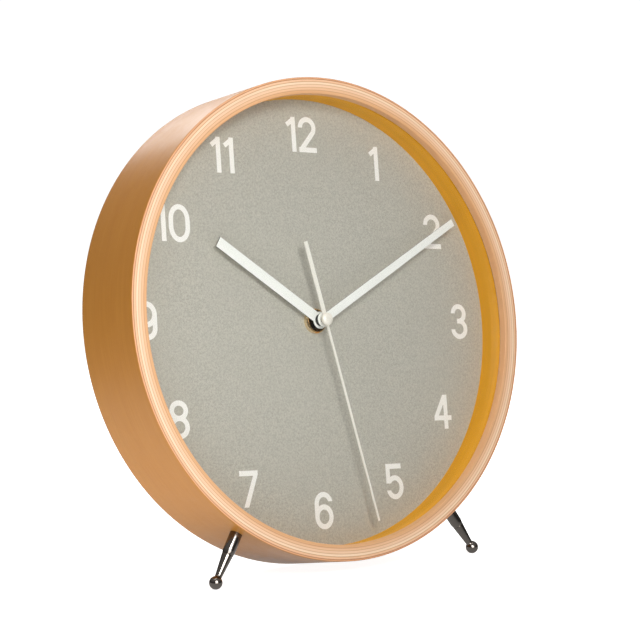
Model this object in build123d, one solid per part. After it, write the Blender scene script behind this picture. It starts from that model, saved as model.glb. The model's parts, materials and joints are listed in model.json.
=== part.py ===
from build123d import *
import os
from math import asin, atan2, cos, degrees, hypot, pi, radians, sin

# Mantel clock: a bentwood drum with a printed dial, a quartz movement on one AA cell and two
# turned metal legs. Millimetres throughout.
#
# Every piece is drawn in the drum's own frame: X to the right, Y up the dial and Z out of the
# front, with the front rim's face at Z = 0, so a depth d behind that face is Z = -d. The last
# step leans the drum back until its two ball feet and its rear rim share the table, Z = 0.

# ---- drum ----
drum_radius = 100.0
wall_thickness = 6.9
rim_round = 0.4
lip_depth = 3.5  # front lip, from the front face to the glass
lip_overlap = 0.9  # how far the lip stands in over the glass
seat_clearance = 0.1  # radial play of glass, sheet and board in the drum

# ---- glass, liner, dial ----
glass_thickness = 2.0
glass_to_hands = 0.8
liner_thickness = 0.4
sheet_thickness = 0.4
board_thickness = 2.6
hoop_width = 3.0
hoop_thickness = 1.2
dial_turn = 2.5  # the dial and movement sit turned this far clockwise in the drum

# ---- numerals ----
numeral_height = 14.8
numeral_stroke = 2.15
numeral_overshoot = 0.3  # round figures stand this far past the flat ones
numeral_gap = 1.5
numeral_margin = 14.9  # from the dial's visible edge to the numerals' centre circle
numeral_shifts = {  # how far right of its place on the circle each hour is set, by eye
    1: -1.5,
    3: 1.4,
    4: -1.1,
    5: -2.0,
    6: -1.3,
    7: 0.8,
    8: -2.4,
    9: -4.3,
    11: -2.4,
    12: -0.5,
}
ink_thickness = 0.06

# ---- hand heights above the dial's face, to each blade's rear side ----
hour_level = 3.7
minute_level = 6.2
second_level = 7.9
blade_thickness = 0.45
boss_height = 1.85
boss_radius = 2.7
hour_hand_angle = 302.8  # clockwise from the 12, at rest
minute_hand_angle = 60.2
second_hand_angle = 166.0
hour_tip_gap = 20.1  # from the numerals' centre circle
minute_tip_gap = 7.4  # from the dial's visible edge
second_tip_gap = 6.6
second_tail = 33.2
hour_width = 4.5
minute_root_width = 3.7
minute_tip_width = 3.2
second_root_width = 1.05
second_tip_width = 0.8
second_tail_width = 1.8
hour_hub_radius = 3.6
minute_hub_radius = 3.1
second_hub_radius = 2.0
collet_wall = 0.7
collet_length = 0.8

# ---- hand shafts and their bush ----
bush_radius = 3.9
bush_stand = 2.6  # bush end above the dial's face
bush_flange_radius = 5.5
bush_flange_thickness = 0.5
nut_radius = 5.2
nut_thickness = 2.2
nut_chamfer = 0.6
hour_tube_radius = 2.5
minute_arbor_radius = 1.6
second_arbor_radius = 0.5
running_clearance = 0.06  # radial, every shaft in its bore
thread_clearance = 0.05
dial_hole_clearance = 0.3
shaft_end_stand = 0.25  # each hollow shaft ends this far past its hand's blade

# ---- gasket and movement housing ----
gasket_radius = 8.5
gasket_thickness = 0.8
housing_corner = 3.0
housing_wall = 1.2
housing_floor = 1.0
front_tray_depth = 4.6
rear_margin = 0.6  # housing's back sits this far inside the drum's rear rim
part_gap = 0.1  # play between loosely nested mouldings

# ---- gears: module, leaf shares and layer heights ----
wheel_share = 0.45  # tooth width at the pitch circle, as a share of the pitch
pinion_share = 0.35
tip_share = 0.45  # tip width as a share of the pitch-circle width
wheel_addendum = 1.0
pinion_addendum = 0.8
dedendum = 1.25
wheel_thickness = 0.8
pinion_thickness = 1.0
layer_gap = 0.4
rotor_leaves, intermediate_teeth = 6, 30
intermediate_leaves, second_teeth = 8, 48
second_leaves, third_teeth = 6, 45
third_leaves, centre_teeth = 6, 48
cannon_leaves, minute_teeth = 10, 30
minute_leaves, hour_teeth = 8, 32
setting_leaves = 10
rotor_module = 0.40
arbor_gap = 0.285  # from the centre wheel's tips to the intermediate arbor
second_module = 0.40
motion_module = 0.45
third_direction = 160.0  # where each arbor lies, seen from the front, from +X
intermediate_direction = 60.0
rotor_direction = 60.0
minute_direction = 0.0
setting_direction = 0.0
pivot_radius = 0.35
pivot_seat = 1.0  # how deep a pivot sits in its bearing
bearing_radius = 1.2
wheel_hub_radius = 1.4
train_plate_thickness = 0.8
plate_post_radius = 1.2
plate_post_inset = 2.3

# ---- setting knob ----
knob_radius = 4.8
knob_thickness = 1.5
knob_flutes = 20
knob_flute_radius = 0.35
knob_shaft_radius = 1.2
knob_well_clearance = 0.4
knob_well_wall = 1.0

# ---- motor: rotor, stator, coil ----
magnet_radius = 3.0
magnet_thickness = 2.5
magnet_arbor_radius = 0.8
stator_air_gap = 0.5
stator_thickness = 0.6
stator_half_length = 12.0
stator_half_width = 4.2
stator_arm = 2.6
core_width = 2.0
core_thickness = 0.8
core_offset = 7.7  # coil axis above the rotor's axis
bobbin_length = 17.6
bobbin_flange_radius = 3.0
bobbin_flange_thickness = 0.8
bobbin_tube_radius = 1.6
winding_radius = 2.7

# ---- circuit board ----
circuit_width = 15.0
circuit_height = 12.0
circuit_thickness = 0.8
circuit_stand = 0.6
circuit_inset = 0.5
crystal_radius = 1.0
crystal_length = 6.0
chip_radius = 2.4
chip_height = 0.9

# ---- cell, its bay and its contacts ----
cell_radius = 7.0
cell_clearance = 0.3  # round the cell, and from it to the housing's back
cell_body_length = 49.1
sleeve_thickness = 0.1
sleeve_end_bare = 0.6
button_radius = 2.7
button_length = 1.2
bay_wall = 1.0
bay_end_room = 1.65  # for a contact at each end of the cell
train_clearance = 1.55  # from the bay's wall to the largest wheel's tips
contact_thickness = 0.3
contact_width = 3.0
contact_notch_clearance = 0.2
spring_leaf_height = 8.0
dimple_radius = 2.0

# ---- legs ----
leg_angle = 33.65  # each side of straight down, radial to the drum
leg_depth = 8.3  # leg axis behind the front face
leg_length = 21.7  # wall to the centre of the ball
ball_radius = 2.7
leg_radius = 2.55
leg_shank_length = 9.4
leg_taper_length = 1.7
leg_taper = 0.3
leg_groove_width = 0.25
leg_groove_depth = 0.2
leg_cone_tip_radius = 1.15
stud_radius = 1.5
stud_in_wood = 4.6
stud_in_leg = 3.6
stud_end_gap = 0.2

# ---- gear centres ----
third_distance = (second_leaves + third_teeth) * second_module / 2
third_module = 2 * third_distance / (third_leaves + centre_teeth)
centre_tip_radius = (centre_teeth / 2 + wheel_addendum) * third_module
intermediate_distance = centre_tip_radius + arbor_gap + pivot_radius
intermediate_module = 2 * intermediate_distance / (intermediate_leaves + second_teeth)
rotor_distance = (rotor_leaves + intermediate_teeth) * rotor_module / 2
minute_distance = (cannon_leaves + minute_teeth) * motion_module / 2
hour_module = 2 * minute_distance / (minute_leaves + hour_teeth)
setting_distance = (setting_leaves + minute_teeth) * motion_module / 2

# ---- cell, bay and housing ----
cell_outer_radius = cell_radius + sleeve_thickness
cell_length = cell_body_length + button_length
bay_height = 2 * (cell_outer_radius + cell_clearance)
train_side = 2 * (bay_height + bay_wall + train_clearance + centre_tip_radius)
housing_side = max(cell_length + 2 * bay_end_room, train_side) + 2 * housing_wall
housing_depth = housing_floor + part_gap + 2 * cell_outer_radius + cell_clearance

# ---- depths behind the front face, worked out from front to back ----
glass_front = lip_depth
glass_back = glass_front + glass_thickness
boss_top_height = second_level + blade_thickness + boss_height
dial_face = glass_back + glass_to_hands + boss_top_height
board_front = dial_face + sheet_thickness
board_back = board_front + board_thickness
housing_front = board_back + gasket_thickness
housing_back = housing_front + housing_depth
drum_depth = housing_back + rear_margin
tray_floor = housing_front + housing_floor
tray_split = housing_front + front_tray_depth
cover_inside = housing_back - housing_floor

# ---- radii inside the drum ----
lip_radius = drum_radius - wall_thickness
rebate_radius = lip_radius + lip_overlap
liner_outer_radius = rebate_radius - seat_clearance / 2
dial_visible_radius = liner_outer_radius - liner_thickness
seated_radius = rebate_radius - seat_clearance
numeral_radius = dial_visible_radius - numeral_margin

# ---- gear layers, each a wheel with the pinion that drives or is driven beside it ----
layer_pitch = wheel_thickness + layer_gap
hour_layer = tray_floor + 0.75 * layer_gap
minute_layer = hour_layer + layer_pitch
train_plate_front = minute_layer + wheel_thickness + 0.75 * layer_gap
train_plate_back = train_plate_front + train_plate_thickness
centre_layer = train_plate_back + 0.75 * layer_gap
third_layer = centre_layer + layer_pitch
second_layer = third_layer + layer_pitch
intermediate_layer = second_layer + layer_pitch
pinion_lap = (pinion_thickness - wheel_thickness) / 2


def polar(radius, angle):
    """A point at this radius and angle in degrees, seen from the front."""
    return radius * cos(radians(angle)), radius * sin(radians(angle))


def step(point, distance, angle):
    dx, dy = polar(distance, angle)
    return point[0] + dx, point[1] + dy


centre_axis = (0.0, 0.0)
third_axis = step(centre_axis, third_distance, third_direction)
intermediate_axis = step(centre_axis, intermediate_distance, intermediate_direction)
rotor_axis = step(intermediate_axis, rotor_distance, rotor_direction)
minute_axis = step(centre_axis, minute_distance, minute_direction)
setting_axis = step(minute_axis, setting_distance, setting_direction)

# ---- housing and bay edges ----
housing_half = housing_side / 2
inner_half = housing_half - housing_wall
bay_bottom = -inner_half
bay_top = bay_bottom + bay_height
bay_wall_top = bay_top + bay_wall
bay_mid = (bay_bottom + bay_top) / 2
cell_depth = tray_floor + part_gap + cell_outer_radius
cell_left = -cell_length / 2
cell_right = cell_length / 2
button_shoulder = cell_right - button_length

# ---- plate posts and the setting knob's well ----
post_high = inner_half - plate_post_inset
post_low = bay_wall_top + plate_post_inset
post_places = [(side * post_high, y) for side in (-1, 1) for y in (post_low, post_high)]
well_radius = knob_radius + knob_well_clearance
well_floor = housing_back - knob_thickness - knob_well_clearance
well_front = well_floor - housing_floor

# ---- rear bearings: each arbor with the depth of the last thing it carries ----
magnet_front = intermediate_layer + wheel_thickness + layer_gap + pinion_lap
magnet_back = magnet_front + magnet_thickness
last_carried = {
    centre_axis: second_layer + wheel_thickness,
    third_axis: third_layer + wheel_thickness + layer_pitch,
    intermediate_axis: intermediate_layer + wheel_thickness,
    rotor_axis: magnet_back,
}
bearing_front = {at: back + layer_gap for at, back in last_carried.items()}
pivot_end = {at: front + pivot_seat for at, front in bearing_front.items()}

# ---- motor ----
stator_front = magnet_front + (magnet_thickness - stator_thickness) / 2
stator_back = stator_front + stator_thickness
coil_y = rotor_axis[1] + core_offset
coil_depth = stator_back + core_thickness / 2

# ---- circuit board and contacts ----
circuit_left = -inner_half + circuit_inset
circuit_right = circuit_left + circuit_width
circuit_top = inner_half - circuit_inset
circuit_bottom = circuit_top - circuit_height
circuit_front = train_plate_back + circuit_stand
circuit_back = circuit_front + circuit_thickness
circuit_post_y = circuit_top - 2 * plate_post_radius
circuit_posts = [
    (circuit_left + 2 * plate_post_radius, circuit_post_y),
    (circuit_right - 2 * plate_post_radius, circuit_post_y),
]
contact_front = cell_depth + cell_radius / 3
contact_back = contact_front + contact_width
tab_bottom = circuit_bottom + contact_thickness
tab_top = tab_bottom + contact_width / 2

# ---- lean: ball feet and rear rim on one plane ----
foot_drop = (drum_radius + leg_length) * cos(radians(leg_angle))
foot_to_rim = drum_depth - rim_round - leg_depth
rim_above_foot = drum_radius - rim_round - foot_drop
lean = degrees(
    asin((ball_radius - rim_round) / hypot(foot_to_rim, rim_above_foot))
    - atan2(rim_above_foot, foot_to_rim)
)
table_lift = (
    (drum_depth - rim_round) * sin(radians(lean))
    + (drum_radius - rim_round) * cos(radians(lean))
    + rim_round
)
front_shift = -drum_depth * cos(radians(lean)) / 2
standing = Pos(0, front_shift, table_lift) * Rot(X=90 - lean)
turned = Rot(Z=-dial_turn)


# ---- drawing helpers; front and back are depths ----
def disc(radius, front, back, at=(0.0, 0.0)):
    return Pos(at[0], at[1], -(front + back) / 2) * Cylinder(radius, back - front)


def tube(outer, inner, front, back, at=(0.0, 0.0)):
    return disc(outer, front, back, at) - disc(inner, front, back, at)


def block(left, right, bottom, top, front, back):
    size = Box(right - left, top - bottom, back - front)
    return Pos((left + right) / 2, (bottom + top) / 2, -(front + back) / 2) * size


def rounded_block(side, corner, front, back):
    return Pos(0, 0, -back) * extrude(RectangleRounded(side, side, corner), back - front)


def slab(shape, front, back):
    """A flat outline given thickness between two depths."""
    return Pos(0, 0, -back) * extrude(shape, back - front)


def polygon(points):
    return make_face(Polyline(*points, close=True))


def ring_sector(rx, ry, stroke, at):
    """An elliptical band: the centre line's radii, and the stroke's width."""
    band = Ellipse(rx + stroke / 2, ry + stroke / 2) - Ellipse(rx - stroke / 2, ry - stroke / 2)
    return Pos(*at) * band


def rect(left, right, bottom, top):
    return Pos((left + right) / 2, (bottom + top) / 2) * Rectangle(right - left, top - bottom)


# ---- figures, each with its foot on Y = 0 and its middle on X = 0 ----
H = numeral_height
S = numeral_stroke
round_half_width = 3.65  # to the stroke's centre line
top_mid = H + numeral_overshoot - S / 2  # centre line of a round figure's top
foot_mid = S / 2 - numeral_overshoot


def figure_0():
    half_width = 4.0
    straight = 1.45
    reach = (top_mid - foot_mid) / 2 - straight
    outer_rx, outer_ry = half_width + S / 2, reach + S / 2
    inner_rx, inner_ry = half_width - S / 2, reach - S / 2
    outer = Rectangle(2 * outer_rx, 2 * straight)
    inner = Rectangle(2 * inner_rx, 2 * straight)
    for side in (-straight, straight):
        outer += Pos(0, side) * Ellipse(outer_ry, outer_rx, rotation=90)
        inner += Pos(0, side) * Ellipse(inner_ry, inner_rx, rotation=90)
    return Pos(0, H / 2) * (outer - inner), 2 * outer_rx


def figure_1():
    stem = rect(-S / 2, S / 2, 0, H)
    reach = 4.0
    tip = [(-reach, H - 2.7), (-2.8, H - 4.3)]
    flag = polygon([(S / 2, H), (-0.3, H), *tip, (-S / 2, H - 3.0), (0, H - 3.0)])
    width = reach + S / 2
    return Pos(width / 2 - S / 2, 0) * (stem + flag), width


def figure_2():
    radius = 3.55
    bowl_y = top_mid - radius
    turn_end = -42.5
    bowl = ring_sector(radius, radius, S, (0, bowl_y))
    start_x, start_y = polar(radius, turn_end)
    foot_x, foot_y = -3.55, S / 2
    beyond = 6.0
    wedge = polygon(
        [
            (0, bowl_y),
            (2 * start_x, bowl_y + 2 * start_y),
            (-beyond, bowl_y - beyond),
            (-beyond, bowl_y),
        ]
    )
    bowl -= wedge
    run_x, run_y = foot_x - start_x, foot_y - (bowl_y + start_y)
    run = hypot(run_x, run_y)
    side_x, side_y = -run_y / run * S / 2, run_x / run * S / 2
    leg = polygon(
        [
            (start_x + side_x, bowl_y + start_y + side_y),
            (start_x - side_x, bowl_y + start_y - side_y),
            (foot_x - side_x, foot_y - side_y),
            (foot_x + side_x, foot_y + side_y),
        ]
    )
    half = 4.6
    foot = rect(-half, half, 0, S)
    corner = rect(-half, foot_x + S / 2, 0, S)
    figure = bowl + leg + foot + corner
    trim = rect(-2 * half, 2 * half, -H, 0) + rect(-2 * half, -half, -H, H / 2)
    return figure - trim, 2 * half


def figure_3():
    upper_r, lower_rx = 3.2, 3.55
    waist = 7.6
    lower_ry = (waist - foot_mid) / 2
    upper_ry = (top_mid - waist) / 2
    upper_y, lower_y = waist + upper_ry, waist - lower_ry
    upper = ring_sector(upper_r, upper_ry, S, (0, upper_y))
    lower = ring_sector(lower_rx, lower_ry, S, (0, lower_y))
    beyond = 8.0
    upper -= rect(-beyond, 0, waist - S, upper_y + 0.2)
    lower -= rect(-beyond, 0, lower_y - 0.2, waist + S)
    waist_bar = rect(-1.0, 0, waist - S / 2, waist + S / 2)
    return upper + lower + waist_bar, 2 * (lower_rx + S / 2)


def figure_4():
    stem_left = 0.6
    bar_bottom, bar_top = 3.7, 5.8
    half = 4.8
    stem = rect(stem_left, stem_left + S, 0, H)
    bar = rect(-half, half, bar_bottom, bar_top)
    heel = [(-half, bar_top - 0.3), (-half, bar_bottom), (stem_left, bar_bottom)]
    slope = polygon([(stem_left + S, H), (0.4, H), *heel])
    window = polygon([(stem_left, 10.7), (-2.3, bar_top), (stem_left, bar_top)])
    return stem + bar + slope - window, 2 * half


def figure_5():
    left = -4.4
    bar = rect(left, 3.9, H - S, H)
    stem = rect(left, left + S, 6.5, H)
    bowl_rx = 3.55
    bowl_top = 8.8
    bowl_ry = (bowl_top - foot_mid) / 2
    bowl_y = foot_mid + bowl_ry
    bowl = ring_sector(bowl_rx, bowl_ry, S, (0.15, bowl_y))
    beyond = 8.0
    bowl -= rect(-beyond, 0.15, bowl_y - 1.2, 6.5)
    bowl -= rect(-beyond, left, 0, H)
    return bar + stem + bowl, 2 * (bowl_rx + S / 2)


def figure_6():
    bowl_rx = round_half_width
    bowl_top = 8.9
    bowl_ry = (bowl_top - foot_mid) / 2
    bowl_y = foot_mid + bowl_ry
    bowl = ring_sector(bowl_rx, bowl_ry, S, (0, bowl_y))
    cap_y = 10.1
    cap_ry = top_mid - cap_y
    cap = ring_sector(bowl_rx, cap_ry, S, (0, cap_y))
    beyond = 8.0
    cap -= rect(-beyond, beyond, 0, cap_y)
    cap -= rect(0, beyond, 0, cap_y + 1.0)
    side = rect(-bowl_rx - S / 2, -bowl_rx + S / 2, bowl_y, cap_y)
    return bowl + cap + side, 2 * (bowl_rx + S / 2)


def figure_7():
    half = 4.6
    bar = [(-half, H - S), (-half, H), (half, H), (half - 0.1, H - 1.8)]
    return polygon([*bar, (-0.7, 0), (-3.05, 0), (2.2, H - S)]), 2 * half


def figure_8():
    waist = 7.9
    upper_ry = (top_mid - waist) / 2
    lower_ry = (waist - foot_mid) / 2
    lower_rx = 3.75
    upper = ring_sector(3.35, upper_ry, S, (0, waist + upper_ry))
    lower = ring_sector(lower_rx, lower_ry, S, (0, waist - lower_ry))
    return upper + lower, 2 * (lower_rx + S / 2)


def figure_9():
    six, width = figure_6()
    return Pos(0, H) * (Rot(Z=180) * six), width


figures = {
    "0": figure_0,
    "1": figure_1,
    "2": figure_2,
    "3": figure_3,
    "4": figure_4,
    "5": figure_5,
    "6": figure_6,
    "7": figure_7,
    "8": figure_8,
    "9": figure_9,
}


def numeral(hour):
    """The raised ink of one hour's figures, upright, as a list of solids."""
    drawn = [figures[digit]() for digit in str(hour)]
    total = sum(width for _, width in drawn) + numeral_gap * (len(drawn) - 1)
    x, y = polar(numeral_radius, 90 - 30 * hour)
    left = x + numeral_shifts.get(hour, 0) - total / 2
    solids = []
    for outline, width in drawn:
        placed = Pos(left + width / 2, y - H / 2) * outline
        solids.append(slab(placed, dial_face - ink_thickness, dial_face))
        left += width + numeral_gap
    return solids


# ---- gears ----
def gear_outline(teeth, module, share, addendum, phase):
    """Straight-sided teeth: radial flanks to the pitch circle, then tapering tips."""
    pitch_radius = teeth * module / 2
    half = pi / teeth * share
    radii = (pitch_radius - dedendum * module, pitch_radius, pitch_radius + addendum * module)
    widths = (half, half, half * tip_share)
    points = []
    for tooth in range(teeth):
        middle = radians(phase) + 2 * pi * tooth / teeth
        for radius, width in zip(radii, widths):
            points.append((radius * cos(middle - width), radius * sin(middle - width)))
        for radius, width in zip(radii[::-1], widths[::-1]):
            points.append((radius * cos(middle + width), radius * sin(middle + width)))
    return polygon(points)


def wheel(teeth, module, layer, at, phase):
    face = Pos(*at) * gear_outline(teeth, module, wheel_share, wheel_addendum, phase)
    return slab(face, layer, layer + wheel_thickness)


def pinion(teeth, module, layer, at, phase):
    face = Pos(*at) * gear_outline(teeth, module, pinion_share, pinion_addendum, phase)
    return slab(face, layer - pinion_lap, layer + wheel_thickness + pinion_lap)


def mesh_phase(teeth, driver_teeth, driver_phase, direction):
    """The phase that puts this gear in mesh with a driver whose centre lies back along direction."""
    offset = driver_phase - direction
    return direction + 180 + 180 / teeth - offset * driver_teeth / teeth


intermediate_phase = mesh_phase(intermediate_teeth, rotor_leaves, 0, rotor_direction + 180)
second_phase = mesh_phase(second_teeth, intermediate_leaves, 0, intermediate_direction + 180)
third_phase = mesh_phase(third_teeth, second_leaves, 0, third_direction)
centre_phase = mesh_phase(centre_teeth, third_leaves, 0, third_direction + 180)
minute_phase = mesh_phase(minute_teeth, cannon_leaves, 0, minute_direction)
hour_phase = mesh_phase(hour_teeth, minute_leaves, 0, minute_direction + 180)
setting_phase = mesh_phase(setting_leaves, minute_teeth, minute_phase, setting_direction)


def arbor(at, front, back, hub_front, hub_back):
    """A wheel's spindle: fine pivots at both ends and a stouter hub between its gears."""
    return disc(pivot_radius, front, back, at) + disc(wheel_hub_radius / 2, hub_front, hub_back, at)


# ---- drum ----
def make_case_ring():
    ring = disc(drum_radius, 0, drum_depth) - disc(lip_radius, 0, lip_depth)
    ring -= disc(rebate_radius, lip_depth, drum_depth)
    circles = ring.edges().filter_by(GeomType.CIRCLE)
    ring = fillet([edge for edge in circles if abs(edge.radius - drum_radius) < rim_round], rim_round)
    for side in (-1, 1):
        ring -= leg_place(side) * stud_hole()
    return ring


def leg_place(side):
    """A leg's own frame: Z runs out from the drum's wall towards the foot."""
    angle = -90 + side * leg_angle
    return Pos(0, 0, -leg_depth) * Rot(Z=angle) * Pos(drum_radius, 0, 0) * Rot(Y=90)


def stud_hole():
    depth = stud_in_wood + stud_end_gap
    return Pos(0, 0, -depth / 2) * Cylinder(stud_radius, depth)


def make_leg(side):
    socket_depth = stud_in_leg + stud_end_gap
    seat_sag = drum_radius - (drum_radius**2 - leg_radius**2) ** 0.5
    shank_end = leg_shank_length - leg_taper_length
    waist_radius = leg_radius - leg_taper
    groove_end = leg_shank_length + leg_groove_width
    profile = Polyline(
        (0, -seat_sag),
        (leg_radius, -seat_sag),
        (leg_radius, shank_end),
        (waist_radius, leg_shank_length),
        (waist_radius - leg_groove_depth, leg_shank_length),
        (waist_radius - leg_groove_depth, groove_end),
        (waist_radius, groove_end),
        (leg_cone_tip_radius, leg_length),
        (0, leg_length),
        close=True,
    )
    body = Rot(X=90) * revolve(make_face(profile), Axis.Y)
    body += Pos(0, 0, leg_length) * Sphere(ball_radius)
    body -= Pos(0, 0, socket_depth / 2) * Cylinder(stud_radius, socket_depth)
    placed = leg_place(side) * body
    return placed - disc(drum_radius, 0, drum_depth)


def make_stud(side):
    stud = Cylinder(stud_radius, stud_in_wood + stud_in_leg)
    return leg_place(side) * Pos(0, 0, (stud_in_leg - stud_in_wood) / 2) * stud


# ---- glass, liner and dial ----
dial_hole = bush_radius + dial_hole_clearance


def make_glass():
    return disc(seated_radius, glass_front, glass_back)


def make_liner():
    return tube(liner_outer_radius, dial_visible_radius, glass_back, dial_face)


def make_dial_sheet():
    return tube(seated_radius, dial_hole, dial_face, board_front)


def make_dial_board():
    return tube(seated_radius, dial_hole, board_front, board_back)


def make_retaining_hoop():
    inner = liner_outer_radius - hoop_thickness
    return tube(liner_outer_radius, inner, board_back, board_back + hoop_width)


# ---- hands ----
def clockwise(angle):
    """A blade drawn pointing up, turned to a clock angle."""
    return Rot(Z=-angle)


def blade(root_width, tip_width, length):
    root, tip = root_width / 2, tip_width / 2
    return polygon([(-root, 0), (root, 0), (tip, length), (-tip, length)])


def hand_depths(level):
    back = dial_face - level
    return back - blade_thickness, back


def make_hour_hand():
    front, back = hand_depths(hour_level)
    outline = Circle(hour_hub_radius) + blade(hour_width, hour_width, numeral_radius - hour_tip_gap)
    outline -= Circle(hour_tube_radius)
    return clockwise(hour_hand_angle) * slab(outline, front, back)


def make_hour_collet():
    _, back = hand_depths(hour_level)
    return tube(hour_tube_radius + collet_wall, hour_tube_radius, back, back + collet_length)


def make_minute_hand():
    front, back = hand_depths(minute_level)
    length = dial_visible_radius - minute_tip_gap
    outline = Circle(minute_hub_radius) + blade(minute_root_width, minute_tip_width, length)
    outline -= Circle(minute_arbor_radius)
    return clockwise(minute_hand_angle) * slab(outline, front, back)


def make_minute_collet():
    _, back = hand_depths(minute_level)
    return tube(minute_arbor_radius + collet_wall, minute_arbor_radius, back, back + collet_length)


def make_second_hand():
    front, back = hand_depths(second_level)
    length = dial_visible_radius - second_tip_gap
    outline = Circle(second_hub_radius) + blade(second_root_width, second_tip_width, length)
    outline += Rot(Z=180) * blade(second_tail_width, second_tail_width, second_tail)
    outline -= Circle(second_arbor_radius)
    return clockwise(second_hand_angle) * slab(outline, front, back)


def make_second_boss():
    front, back = hand_depths(second_level)
    top = front - boss_height
    cap = disc(boss_radius, top, front)
    cap = fillet(cap.faces().sort_by(Axis.Z)[-1].edges(), 0.55 * boss_height)
    socket_end = shaft_end_stand
    return cap - disc(second_arbor_radius, front - socket_end, front)


def make_second_collet():
    _, back = hand_depths(second_level)
    return tube(second_arbor_radius + collet_wall, second_arbor_radius, back, back + collet_length)


# ---- bush, nut, gasket ----
def make_bush():
    barrel = tube(bush_radius, hour_tube_radius + running_clearance, dial_face - bush_stand, tray_floor)
    flange_front = tray_floor - bush_flange_thickness
    return barrel + tube(bush_flange_radius, bush_radius, flange_front, tray_floor)


def make_nut():
    nut = disc(nut_radius, dial_face - nut_thickness, dial_face)
    nut = chamfer(nut.faces().sort_by(Axis.Z)[-1].edges(), nut_chamfer)
    return nut - disc(bush_radius + thread_clearance, dial_face - nut_thickness, dial_face)


def make_gasket():
    return tube(gasket_radius, dial_hole, board_back, housing_front)


# ---- movement housing ----
def pivot_hole(at, front, back):
    return disc(pivot_radius + running_clearance, front, back, at)


def make_movement_tray():
    tray = rounded_block(housing_side, housing_corner, housing_front, tray_split)
    tray -= rounded_block(2 * inner_half, housing_corner - housing_wall, tray_floor, tray_split)
    for at in post_places:
        tray += disc(plate_post_radius, tray_floor - part_gap, train_plate_front, at)
    tray -= disc(bush_radius, housing_front, tray_floor)
    tray -= disc(bush_flange_radius, tray_floor - bush_flange_thickness, tray_floor)
    tray -= pivot_hole(minute_axis, tray_floor - 0.75 * housing_floor, tray_floor)
    return tray


def knob_well(radius, front, back):
    return disc(radius, front, back, setting_axis)


def make_movement_cover():
    cover = rounded_block(housing_side, housing_corner, tray_split, housing_back)
    cover -= rounded_block(2 * inner_half, housing_corner - housing_wall, tray_split, cover_inside)
    cover -= block(-inner_half, inner_half, bay_bottom, bay_top, tray_split, housing_back)
    reach = inner_half - part_gap
    cover += block(-reach, reach, bay_top, bay_wall_top, tray_floor + part_gap, cover_inside + part_gap)
    cover += knob_well(well_radius + knob_well_wall, well_front, cover_inside + part_gap)
    cover -= knob_well(well_radius, well_floor, housing_back)
    cover -= knob_well(knob_shaft_radius + running_clearance, well_front, well_floor)
    for at, front in bearing_front.items():
        cover += disc(bearing_radius, front, cover_inside + part_gap, at)
        bore = second_arbor_radius if at == centre_axis else pivot_radius
        cover -= disc(bore + running_clearance, front, front + pivot_seat + part_gap, at)
    notch = contact_thickness + contact_notch_clearance
    for side in (-1, 1):
        inner, outer = sorted((side * (inner_half - notch), side * inner_half))
        cover -= block(inner, outer, bay_top, bay_wall_top, tray_floor, contact_back + part_gap)
    return cover


# ---- motor ----
def make_stator():
    x, y = rotor_axis
    left, right = x - stator_half_length, x + stator_half_length
    top = coil_y + core_width
    plate = block(left, right, y - stator_half_width, y + stator_half_width, stator_front, stator_back)
    plate += block(left, left + stator_arm, y, top, stator_front, stator_back)
    plate += block(right - stator_arm, right, y, top, stator_front, stator_back)
    return plate - disc(magnet_radius + stator_air_gap, stator_front, stator_back, rotor_axis)


def make_coil_core():
    x = rotor_axis[0]
    low, high = coil_y - core_width / 2, coil_y + core_width / 2
    left, right = x - stator_half_length, x + stator_half_length
    return block(left, right, low, high, stator_back, stator_back + core_thickness)


def coil_round(radius, length, shift=0.0):
    """A cylinder along the coil's axis."""
    return Pos(rotor_axis[0] + shift, coil_y, -coil_depth) * Rot(Y=90) * Cylinder(radius, length)


def make_bobbin():
    bobbin = coil_round(bobbin_tube_radius, bobbin_length)
    shift = (bobbin_length - bobbin_flange_thickness) / 2
    for side in (-1, 1):
        bobbin += coil_round(bobbin_flange_radius, bobbin_flange_thickness, side * shift)
    return bobbin - make_coil_core()


def make_winding():
    length = bobbin_length - 2 * bobbin_flange_thickness
    return coil_round(winding_radius, length) - coil_round(bobbin_tube_radius, length)


def make_rotor_magnet():
    return tube(magnet_radius, magnet_arbor_radius, magnet_front, magnet_back, rotor_axis)


def make_rotor_pinion():
    body = pinion(rotor_leaves, rotor_module, intermediate_layer, rotor_axis, 0)
    body += disc(magnet_arbor_radius, magnet_front, magnet_back, rotor_axis)
    lap_back = intermediate_layer + wheel_thickness + pinion_lap
    body += disc(magnet_arbor_radius, lap_back, magnet_front, rotor_axis)
    return body + disc(pivot_radius, train_plate_front, pivot_end[rotor_axis], rotor_axis)


# ---- going train ----
def make_train_plate():
    reach = inner_half - part_gap
    plate = block(-reach, reach, bay_wall_top + part_gap, reach, train_plate_front, train_plate_back)
    plate &= rounded_block(2 * reach, housing_corner - housing_wall, train_plate_front, train_plate_back)
    plate -= disc(minute_arbor_radius + running_clearance, train_plate_front, train_plate_back)
    plate -= disc(knob_shaft_radius + running_clearance, train_plate_front, train_plate_back, setting_axis)
    for at in (third_axis, intermediate_axis, rotor_axis, minute_axis):
        plate -= pivot_hole(at, train_plate_front, train_plate_back)
    for at in circuit_posts:
        plate += disc(plate_post_radius, train_plate_back - part_gap, circuit_front, at)
    return plate


def make_intermediate_wheel():
    at = intermediate_axis
    body = wheel(intermediate_teeth, rotor_module, intermediate_layer, at, intermediate_phase)
    body += pinion(intermediate_leaves, intermediate_module, second_layer, at, 0)
    hub_back = intermediate_layer + wheel_thickness
    return body + arbor(at, train_plate_front, pivot_end[at], second_layer, hub_back)


def make_second_wheel():
    body = wheel(second_teeth, intermediate_module, second_layer, centre_axis, second_phase)
    body += pinion(second_leaves, second_module, third_layer, centre_axis, 0)
    body += disc(wheel_hub_radius / 2, third_layer, second_layer + wheel_thickness)
    return body - disc(second_arbor_radius, centre_layer, intermediate_layer)


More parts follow.
